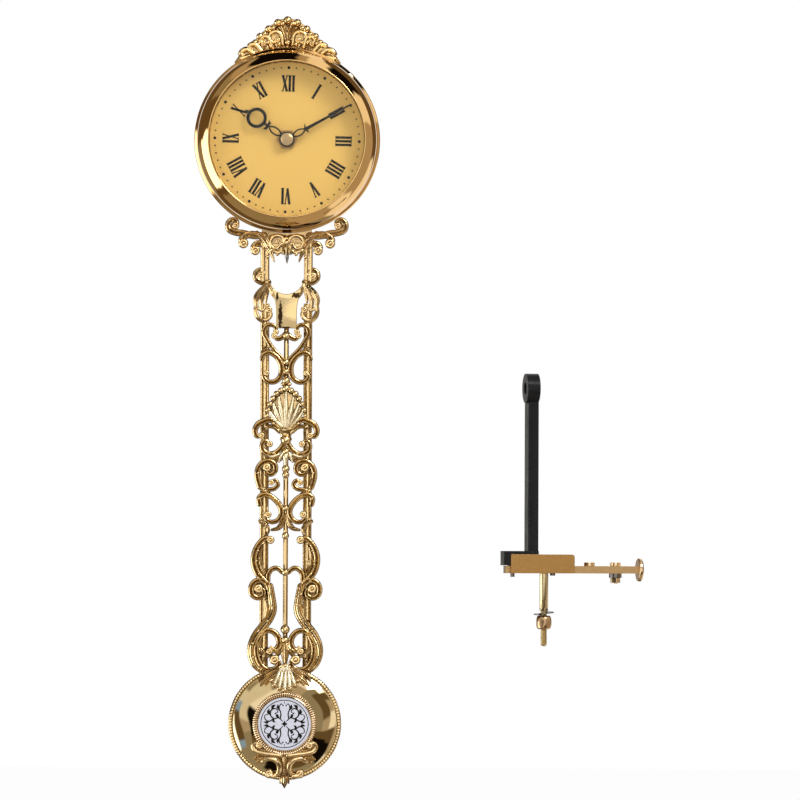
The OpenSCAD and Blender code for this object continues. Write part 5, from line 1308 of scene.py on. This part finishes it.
@dataclass
class Bob:
    """The domed disc with its corded rim, medallion and applied castings."""

    z: float = -276.0
    rim_major: float = 32.5
    rim_f: float = 4.1
    dome_base_r: float = 30.9
    dome_base_f: float = 4.7
    dome_rise: float = 8.0
    hole_r: float = 18.5
    ring_mid: float = 17.9
    disc_f: float = 10.45
    shell: tuple[Stroke, ...] = (
        Stroke(((0, 35.4), (0, 28.4), (0, 21.6)), (1.6, 2.8, 2.2)),
        Stroke(((0.8, 35.4), (2.2, 28.6), (3.1, 22.4)), (1.4, 2.6, 2)),
        Stroke(((1.5, 35), (4, 29), (5.9, 24.2)), (1.2, 2.4, 1.8)))
    shell_beads: tuple[tuple[float, float, float], ...] = (
        (0, 20.4, 1.5), (3.3, 21.2, 1.4), (6.3, 23.2, 1.3), (8, 26, 1.2), (0, 34.6, 1.5), (2.6, 34, 1.2))
    shell_leaves: tuple[Stroke, ...] = (
        Stroke(((3.4, 32.4), (7.6, 28.8), (11.4, 26), (14.4, 23)), (2, 3.2, 0.9)),
        Stroke(((4, 33.2), (9, 31), (13.6, 28), (15.4, 25.4)), (1.4, 2.6, 0.9)),
        Stroke(((6, 29), (9, 26.4), (11.4, 23.4)), (1.2, 2, 0.8)))
    foot: tuple[Stroke, ...] = (
        Stroke(((13, -22.4), (9.8, -20.8), (6.2, -21.2), (3.4, -23.8), (2.9, -27), (4.2, -30), (7, -31.4), (9.2, -30)),
               (1.9, 2.6, 2), 2.2),
        Stroke(((2.2, -18.8), (8.2, -18), (12.8, -17.4), (17, -16.2), (18.6, -13.4), (16.8, -11.6), (15, -12.8)),
               (1.9, 2.3, 1.8), 1.7))
    foot_leaves: tuple[Stroke, ...] = (
        Stroke(((9.6, -20.6), (13, -21.4), (16.4, -23.4)), (1.4, 2.4, 0.8)),
        Stroke(((13.4, -19.6), (15.8, -19.8), (18.2, -21.4)), (1.2, 1.9, 0.8)),
        Stroke(((0, -20.4), (0, -27), (0, -33)), (2, 2, 2.4)),
        Stroke(((0, -30), (0, -34.6), (0, -38.2)), (2.2, 3.4, 0.6)),
        Stroke(((0.6, -30.6), (1.9, -33.2), (2.6, -35.6)), (1.2, 1.8, 0.6)))

    def build(self) -> None:
        """Makes and dresses the bob."""
        self.dome()
        self.cords()
        self.medallion()
        self.castings()
        finished(refined("bob_back", 0.2), SPUN, Body.CLOCK)
        finished(refined("bob_screws", 0.15), STEEL, Body.CLOCK)
        dressed(WEIGHT, "bob_weight")

    @property
    def sphere_r(self) -> float:
        """Radius of the dome's sphere."""
        return (self.dome_base_r ** 2 + self.dome_rise ** 2) / (2 * self.dome_rise)

    def dome_f(self, r: float) -> float:
        """How far forward the dome's surface lies at a radius."""
        centre = self.dome_base_f + self.dome_rise - self.sphere_r
        return centre + math.sqrt(self.sphere_r ** 2 - min(r, self.dome_base_r) ** 2)

    def place(self, obj: bpy.types.Object) -> bpy.types.Object:
        """Stands a piece drawn around the bob's axis in its place."""
        return faced(obj, (0, 0, self.z))

    def dome(self) -> None:
        """The polished dome."""
        steps = 40
        radii = [self.dome_base_r - (self.dome_base_r - self.hole_r) * k / steps for k in range(steps + 1)]
        outer = [(self.dome_base_r, 2.6), *[(r, self.dome_f(r)) for r in radii]]
        inner = [(r - 0.1, self.dome_f(r) - 0.8) for r in radii[::-4]]
        obj = turned("bob_shell", [*outer, *inner, (self.dome_base_r - 0.8, 2.6)], 256, closed=True)
        finished(self.place(obj), DOME_GOLD, Body.CLOCK, ["bob_dome"])

    def cord(self, name: str, major: float, minor: float, forward: float, ribs: int, twist: float,
             depth: float) -> bpy.types.Object:
        """A ring of slanting ribs.

        Args:
            name: Name of the object.
            major: Radius of the ring's centreline in millimetres.
            minor: Radius of its section.
            forward: How far forward its centreline lies.
            ribs: Number of ribs.
            twist: Slant of the ribs, in ribs over one turn of the section.
            depth: Depth of the furrows as a share of the section.

        Returns:
            The ring in its place.
        """
        bpy.ops.object.select_all(action="DESELECT")
        bpy.ops.mesh.primitive_torus_add(major_radius=major * MM, minor_radius=minor * MM,
                                         major_segments=ribs * 8, minor_segments=14)
        obj = bpy.context.object
        obj.name = obj.data.name = name
        for vertex in obj.data.vertices:
            x, y, z = vertex.co
            round_angle = math.atan2(y, x)
            out = math.hypot(x, y) - major * MM
            tube_angle = math.atan2(z, out)
            wave = 0.5 + 0.5 * math.cos(ribs * round_angle + twist * tube_angle)
            scale = 1 - depth * (1 - wave ** 0.6)
            reach = major * MM + out * scale
            vertex.co = (reach * math.cos(round_angle), reach * math.sin(round_angle), z * scale)
        obj.location.z = forward * MM
        return self.place(cleaned(baked(obj), 60))

    def cords(self) -> None:
        """The corded rim and the corded medallion ring."""
        finished(self.cord("corded_rim", self.rim_major, 1.5, self.rim_f, 118, 0, 0.34), CORD_GOLD, Body.CLOCK,
                 ["bob_rim"])
        ring = self.cord("corded_ring", self.ring_mid, 1.3, 10.3, 84, 0, 0.34)
        ledge = turned("ring_ledge", [(16.9, 10.9), (16.5, 11.1), (16.0, 10.9), (15.75, 10.5), (15.75, 9.7),
                                      (18.4, 8.9), (18.4, 10)], 160, closed=True)
        obj = joined("medallion_frame", [ring, self.place(ledge)])
        finished(obj, RING_GOLD, Body.CLOCK, ["medallion_ring"])

    def medallion(self) -> None:
        """The enamelled disc with a plain vine flourish of the builder's own."""
        dressed(ENAMEL, "medallion_disc")
        vine = [Stroke(((1.2, 1.6), (3.4, 3.6), (6.2, 3.2), (8.4, 5.2), (8, 8.2), (5.4, 9.2), (4, 7.4), (5.4, 6.2)),
                       (0.3, 0.55, 0.25), 0.5),
                Stroke(((6.4, 3.2), (9, 1.6), (11.4, 2.6), (11.8, 5), (10, 5.8)), (0.5, 0.4, 0.25), 0.42),
                Stroke(((2.6, 3), (2.2, 6.2), (3.2, 9.6), (2.2, 12), (0.9, 11)), (0.5, 0.4, 0.25), 0.42),
                Stroke(((3.2, 3.5), (4.6, 4.9), (5.2, 5)), (0.3, 1.3, 0.2)),
                Stroke(((8.3, 5.2), (9.6, 7.2), (9.2, 9)), (0.3, 1.2, 0.2)),
                Stroke(((7.6, 8.6), (7, 10.4), (5.4, 11.4)), (0.3, 1.2, 0.2)),
                Stroke(((9.4, 1.6), (10.6, 0.9), (12.4, 1.2)), (0.3, 1.0, 0.2)),
                Stroke(((2.9, 8), (4.0, 10), (3.9, 11.6)), (0.3, 1.0, 0.2)),
                Stroke(((6.2, 3.1), (6.6, 1.7), (5.6, 0.9)), (0.3, 0.9, 0.2))]
        quarters = [*vine, *[Stroke(tuple((x, -y) for x, y in s.points), s.widths, s.ball) for s in vine]]
        parts = [Relief(Section.FLAT, 4, 1.7).sweep("vine", quarters)]
        dots = [(*s.points[-1], 0, s.ball) for s in quarters if s.ball]
        parts.append(balls("vine_dots", dots, 0.06))
        diamond = [Stroke(((0, 1.8), (0, 0), (0, -1.8)), (0.2, 1.8, 0.2)),
                   Stroke(((1.8, 0), (0.9, 0)), (0.2, 0.7, 0.9)),
                   Stroke(((0, 13.4), (0, 12.4)), (0.2, 1.2, 0.4)), Stroke(((0, -13.4), (0, -12.4)), (0.2, 1.2, 0.4))]
        parts.append(Relief(Section.FLAT, 3, 1.3).sweep("diamond", diamond))
        parts.append(turned("line_ring", [(13.9, 0.02), (14.4, 0.02), (14.4, 0), (13.9, 0)], 120, closed=True))
        obj = faced(joined("medallion_print", parts), (0, -self.disc_f - 0.005, self.z))
        finished(obj, INK, Body.CLOCK)

    def over_dome(self, point: Point) -> float:
        """Height of the applied castings over the bob at a point."""
        r = math.hypot(*point)
        if r > 31.5:
            return 6.2 - 0.25 * (r - 31.5)
        return self.dome_f(r) + 0.5

    def castings(self) -> None:
        """Shell over the bob's top and scrolls at its foot."""
        parts = [relief("shell_leaves", self.shell_leaves, Section.LEAF, self.over_dome),
                 balls("shell_beads", [(x, y, self.over_dome((x, y)) + 0.6, r) for x, y, r in self.shell_beads], 0.9)]
        finished(self.place(joined("bob_shell_relief", parts)), BOSS_GOLD, Body.CLOCK, ["shell_ornament"])
        obj = lifted(relief("shell_flutes", self.shell, Section.ROUND, self.over_dome, widen=1.15), 0.5)
        finished(self.place(obj), SHELL_HIGHLIGHT_GOLD, Body.CLOCK)
        parts = [relief("foot_scrolls", self.foot, Section.ROUND, self.over_dome),
                 relief("foot_leaves", self.foot_leaves, Section.LEAF, self.over_dome)]
        finished(self.place(joined("bob_foot_relief", parts)), BOSS_GOLD, Body.CLOCK, ["foot_ornament"])


@dataclass
class Movement:
    """The quartz movement and the pendulum drive behind the dial."""

    black: tuple[str, ...] = ("movement_case", "movement_cover")
    nylon: tuple[str, ...] = ("hour_wheel", "motion_wheel", "third_wheel", "second_wheel", "coil_holder")
    boards: tuple[str, ...] = ("circuit_board", "swing_board")

    def build(self) -> None:
        """Dresses the movement's pieces."""
        for node in self.black:
            finished(refined(node, 0.2), BLACK, Body.CLOCK)
        finished(refined("setting_knob", 0.12), BLACK, Body.KNOB)
        dressed(WHITE, *self.nylon)
        dressed(BOARD, *self.boards)
        dressed(RUBBER, "gasket")
        dressed(BRASS, "post_nut", "centre_wheel")
        dressed(CELL, "battery")
        dressed(STEEL, "battery_contacts", "quartz_crystal")
        dressed(COPPER, "swing_coil")
        dressed(Winding("stepper winding", "copper", axis=(1.0, 0.0, 0.0), pitch=0.2), "stepper_coil")
        dressed(CORE, "stator")
        dressed(MAGNET, "rotor")


@dataclass
class Bracket:
    """The bar with cupped seats, its block, the magnet's arm and the clamping stud."""

    aside: float = 190.0
    drop: float = 180.0
    turn: float = 101.0
    stud_y: float = 35.8
    bar_low: float = -5.4
    shank_low: float = -27.8
    stud_low: float = -49.0

    def place(self, obj: bpy.types.Object) -> bpy.types.Object:
        """Moves a piece drawn in the bracket's own frame beside the clock."""
        obj.rotation_euler = (0, 0, math.radians(self.turn))
        obj.location = (self.aside * MM, 0, -self.drop * MM)
        return baked(obj)

    def build(self) -> None:
        """Makes and dresses the bracket."""
        finished(refined("seat_bar", 0.3), BAR_BRASS, Body.BRACKET)
        finished(refined("channel_block", 0.35), BRASS, Body.BRACKET)
        finished(refined("magnet_arm", 0.4), ARM_BLACK, Body.BRACKET)
        finished(refined("ring_magnet", 0.2), MAGNET, Body.BRACKET)
        finished(refined("needle_seats", 0.15), BRIGHT_BRASS, Body.BRACKET)
        finished(refined("seat_washer", 0.15), DARK_STEEL, Body.BRACKET)
        finished(refined("seat_nut", 0.25), BRIGHT_BRASS, Body.BRACKET)
        finished(refined("block_screws", 0.15), DARK_STEEL, Body.BRACKET)
        self.washer()
        self.stud()
        self.nut()
        self.knob()

    def stud(self) -> None:
        """Plain shank with a threaded end."""
        rings = [(1.6, -1.0), (1.6, self.bar_low), (2.6, self.bar_low - 0.1), (2.6, self.shank_low + 0.3), (2.3, self.shank_low)]
        z = self.shank_low - 0.1
        while z > self.stud_low + 0.9:
            rings += [(1.62, z), (2.0, z - 0.3), (2.0, z - 0.4)]
            z -= 0.7
        rings += [(1.62, z), (1.4, self.stud_low)]
        obj = turned("threaded_stud", rings, 48, smooth=50)
        obj.location = (0, self.stud_y * MM, 0)
        finish = SatinMetal("zinc yellow stud", "satin_brass", colour=(0.74, 0.63, 0.38), rough=(0.22, 0.34),
                            stretch=(1.0, 1.0, 0.1))
        finished(self.place(baked(obj)), finish, Body.BRACKET, ["stud"])

    def washer(self) -> None:
        """The thin split washer, sprung into a helix."""
        bpy.ops.object.select_all(action="DESELECT")
        bpy.ops.mesh.primitive_plane_add(size=MM, location=(4.1 * MM, 0, (self.shank_low - 2.75) * MM),
                                         rotation=(math.pi / 2, 0, 0))
        obj = bpy.context.object
        obj.scale = (3.9, 0.65, 1)
        baked(obj)
        with editing(obj):
            bpy.ops.mesh.delete(type="ONLY_FACE")
        modified(obj, "SCREW", angle=math.radians(352), screw_offset=2.4 * MM, steps=72, render_steps=72)
        with editing(obj):
            bpy.ops.mesh.fill_holes(sides=0)
        obj.rotation_euler = (0, 0, math.radians(-11))
        obj.location = (0, self.stud_y * MM, 0)
        obj.name = obj.data.name = "sprung_washer"
        finished(self.place(cleaned(baked(obj))), DARK_STEEL, Body.NUT, ["split_washer"])

    def nut(self) -> None:
        """Tall hexagonal nut with turned shoulders."""
        obj = refined("stud_nut", 0.12, angle=40)
        low, high = self.shank_low - 11.0, self.shank_low - 2.9
        barrel = turned("barrel", [(3.5, low), (4.1, low + 0.6), (4.5, low + 1.8), (4.72, low + 3.2),
                                   (4.72, high - 3.2), (4.5, high - 1.8), (4.1, high - 0.6), (3.5, high)], 64)
        barrel.location = (0, self.stud_y * MM, 0)
        self.place(baked(barrel))
        modified(obj, "BOOLEAN", operation="INTERSECT", object=barrel, solver="EXACT")
        bpy.data.objects.remove(barrel)
        finish = SatinMetal("bronze nut", "satin_brass", colour=(0.66, 0.46, 0.27), rough=(0.2, 0.32))
        finished(cleaned(obj, 25), finish, Body.NUT)

    def knob(self) -> None:
        """The end knob with a knurled edge."""
        obj = refined("end_knob", 0.2)
        finished(obj, BRIGHT_BRASS, Body.BRACKET)


class Card:
    """Brightness of the studio's cards and gaps, as mirrors see them, against the brightest card."""

    WHITE: Colour = (1.0, 1.0, 1.0)
    PEARL: Colour = (0.62, 0.59, 0.54)
    CREAM: Colour = (0.34, 0.32, 0.3)
    SAND: Colour = (0.255, 0.235, 0.2)
    TAN: Colour = (0.16, 0.13, 0.098)
    OLIVE: Colour = (0.105, 0.09, 0.066)
    BROWN: Colour = (0.046, 0.03, 0.014)
    BLUE: Colour = (0.09, 0.14, 0.24)
    BLACK: Colour = (0.002, 0.0014, 0.001)


def cards(*edges: tuple[float, Colour], blur: float = 1.5) -> tuple[tuple[float, Colour], ...]:
    """Stops of a ramp in which each card runs from its angle to the next one's.

    Args:
        edges: First angle of each card in degrees, clockwise from up, and its brightness.
        blur: Half the width of the soft edge between two cards, in degrees.

    Returns:
        The stops, from -180 to 180 degrees.
    """
    stops = [(-180.0, edges[0][1])]
    for (_, before), (angle, after) in pairwise(edges):
        stops += [(angle - blur, before), (angle + blur, after)]
    return (*stops, (180.0, edges[-1][1]))


@dataclass
class Studio:
    """Camera, floor, lamps and the surroundings that the metal reflects."""

    aim: tuple[float, float, float] = (68.3, 0.0, -81.8)
    distance: float = 4000.0
    azimuth: float = 0.0
    elevation: float = -1.3
    roll: float = 0.22
    view_width: float = 480.0
    floor_z: float = -400.0
    walls: dict[str, tuple[float, tuple]] = field(default_factory=lambda: {
        "backdrop": (0.0, cards((-180, (0.3, 0.3, 0.3)), (0, (0.3, 0.3, 0.3)))),
        "far": (0.03, cards((-180, Card.BROWN), (-177.5, Card.BLACK), (-170, Card.BROWN), (-120, Card.OLIVE),
                            (-85, Card.BROWN), (-30, Card.OLIVE), (-24, Card.BLACK), (2, Card.CREAM),
                            (25, Card.BROWN), (100, Card.CREAM), (146, Card.OLIVE), (161.5, Card.BLACK),
                            (169.5, Card.BROWN))),
        "sides": (0.3, cards((-180, Card.OLIVE), (-130, Card.BROWN), (-121, Card.WHITE), (-83, Card.BROWN),
                             (-58, Card.OLIVE), (-40, Card.TAN), (-24, Card.BLACK), (2, Card.TAN), (10, Card.CREAM),
                             (27, Card.BLACK), (51, Card.CREAM), (76, Card.TAN), (130, Card.CREAM),
                             (147, Card.TAN))),
        "rim": (0.755, cards((-180, Card.OLIVE), (-173, Card.BLACK), (-155, Card.OLIVE), (-119, Card.BLUE), (-108, Card.BROWN),
                             (-78, Card.BLUE), (-68, Card.SAND), (-53, Card.OLIVE), (-38, Card.TAN),
                             (34, Card.WHITE), (52, Card.BROWN), (64, Card.TAN), (78, Card.CREAM),
                             (97, Card.BROWN), (118, Card.BLACK), (146, Card.OLIVE))),
        "near": (0.8, cards((-180, Card.BROWN), (-175, Card.BLACK), (-154, Card.BROWN), (-143, Card.OLIVE),
                            (-98, Card.TAN), (-83, Card.SAND), (-22, Card.OLIVE), (8, Card.TAN),
                            (22, Card.CREAM), (36, Card.OLIVE), (50, Card.BROWN), (82, Card.TAN),
                            (98, Card.BROWN), (114, Card.BLACK), (146, Card.BROWN))),
        "front": (0.86, cards((-180, Card.BROWN), (-165, Card.OLIVE), (-142, Card.BROWN), (-108, Card.BLACK),
                              (-68, Card.CREAM), (-8, Card.TAN), (38, Card.OLIVE), (98, Card.BROWN),
                              (115, Card.BLACK), (146, Card.BROWN))),
        "ahead": (0.93, cards((-180, Card.CREAM), (0, Card.CREAM))),
        "centre": (0.972, cards((-180, Card.PEARL), (0, Card.PEARL)))})

    def build(self) -> None:
        """Makes the whole studio."""
        self.camera()
        self.floor()
        self.lamp("key", (0.8, -1.0, 0.95), 0.5, 9.0)
        self.lamp("fill", (-1.2, -1.0, 0.1), 1.0, 4.0)
        self.lamp("back", (0.3, 1.2, 0.9), 0.8, 4.0)
        self.surroundings()
        bpy.context.scene.view_settings.view_transform = "Standard"

    def camera(self) -> None:
        """The camera at the photograph's angle."""
        a, e = math.radians(self.azimuth), math.radians(self.elevation)
        back = Vector((math.sin(a) * math.cos(e), -math.cos(a) * math.cos(e), math.sin(e)))
        data = bpy.data.cameras.new("camera")
        data.sensor_width = 36.0
        data.lens = 36.0 * self.distance / self.view_width
        data.clip_end = 50.0
        obj = bpy.data.objects.new("camera", data)
        bpy.context.scene.collection.objects.link(obj)
        obj.location = (Vector(self.aim) + back * self.distance) * MM
        obj.rotation_euler = (-back).to_track_quat("-Z", "Y").to_euler()
        obj.rotation_euler.rotate_axis("Z", math.radians(self.roll))
        bpy.context.scene.camera = obj

    def floor(self) -> None:
        """A plain pale floor that keeps the object's shadow."""
        bpy.ops.object.select_all(action="DESELECT")
        bpy.ops.mesh.primitive_plane_add(size=6, location=(0, 0, self.floor_z * MM))
        obj = bpy.context.object
        obj.name = "studio_floor"
        made = bpy.data.materials.new("pale floor")
        made.use_nodes = True
        made.node_tree.nodes.clear()
        nodes = Nodes(made.node_tree)
        diffuse = nodes.add("ShaderNodeBsdfDiffuse", {"Color": (0.86, 0.86, 0.86, 1)})
        white = nodes.add("ShaderNodeEmission", {"Color": (1, 1, 1, 1), "Strength": 1.0})
        path = nodes.add("ShaderNodeLightPath")
        seen = nodes.math("MULTIPLY", nodes.math("MAXIMUM", path.outputs["Is Camera Ray"],
                                             path.outputs["Is Transmission Ray"]), 0.95)
        mixed = nodes.add("ShaderNodeMixShader", {0: seen, 1: diffuse.outputs[0], 2: white.outputs[0]})
        output = nodes.add("ShaderNodeOutputMaterial")
        made.node_tree.links.new(mixed.outputs[0], output.inputs["Surface"])
        obj.data.materials.append(made)
        obj.visible_glossy = False

    def lamp(self, name: str, at: tuple[float, float, float], size: float, power: float) -> None:
        """A square soft box that faces the object."""
        data = bpy.data.lights.new(name, "AREA")
        data.shape, data.size, data.energy = "SQUARE", size, power
        obj = bpy.data.objects.new(name, data)
        bpy.context.scene.collection.objects.link(obj)
        obj.location = at
        obj.visible_glossy = name == "key"
        way = Vector((0.07, 0, -0.08)) - Vector(at)
        obj.rotation_euler = way.to_track_quat("-Z", "Y").to_euler()

    def surroundings(self) -> None:
        """Plain light all round, and for mirrors a studio of pale walls with dark gaps between them."""
        world = bpy.data.worlds.new("studio")
        world.use_nodes = True
        world.node_tree.nodes.clear()
        nodes = Nodes(world.node_tree)
        way = nodes.add("ShaderNodeTexCoord").outputs["Generated"]
        stir = nodes.add("ShaderNodeTexNoise", {"Vector": way, "Scale": 1.6, "Detail": 0.0}).outputs["Color"]
        stir = nodes.add("ShaderNodeVectorMath", {0: stir, 1: (0.5, 0.5, 0.5)}, operation="SUBTRACT").outputs[0]
        stir = nodes.add("ShaderNodeVectorMath", {0: stir, "Scale": 0.3}, operation="SCALE").outputs[0]
        bent = nodes.add("ShaderNodeVectorMath", {0: way, 1: stir}, operation="ADD").outputs[0]
        axes = nodes.add("ShaderNodeSeparateXYZ", {0: bent})
        turn = nodes.math("DEGREES", nodes.math("ARCTAN2", axes.outputs["X"], axes.outputs["Z"]))
        share = nodes.span(turn, -180, 180)
        ahead = nodes.span(axes.outputs["Y"], 1, -1)
        seen = self.walls["backdrop"][1][0][1]
        for low, stops in self.walls.values():
            ramp = nodes.ramp(share, [((angle + 180) / 360, colour) for angle, colour in stops], "LINEAR")
            seen = nodes.mix(nodes.span(ahead, low - 0.006, low + 0.006), seen, ramp)
        path = nodes.add("ShaderNodeLightPath")
        lit = nodes.add("ShaderNodeBackground", {"Color": (1, 1, 1, 1), "Strength": 0.7})
        mirror = nodes.add("ShaderNodeBackground", {"Color": seen, "Strength": 3.2})
        white = nodes.add("ShaderNodeBackground", {"Color": (1, 1, 1, 1), "Strength": 1.0})
        glossy = nodes.add("ShaderNodeMixShader", {0: path.outputs["Is Glossy Ray"], 1: lit.outputs[0],
                                                   2: mirror.outputs[0]})
        through = nodes.math("MAXIMUM", path.outputs["Is Camera Ray"], path.outputs["Is Transmission Ray"])
        shown = nodes.add("ShaderNodeMixShader", {0: through, 1: glossy.outputs[0], 2: white.outputs[0]})
        output = nodes.add("ShaderNodeOutputWorld")
        world.node_tree.links.new(shown.outputs[0], output.inputs["Surface"])
        bpy.context.scene.world = world


def main() -> None:
    """Builds the studio and every sub-assembly in order."""
    logging.basicConfig(level=logging.INFO, format="%(message)s")
    Studio().build()
    for assembly in (Head(), Yoke(), Rod(), Bob(), Movement(), Bracket()):
        LOG.info("%s", type(assembly).__name__)
        assembly.build()


if __name__ == "__main__":
    main()
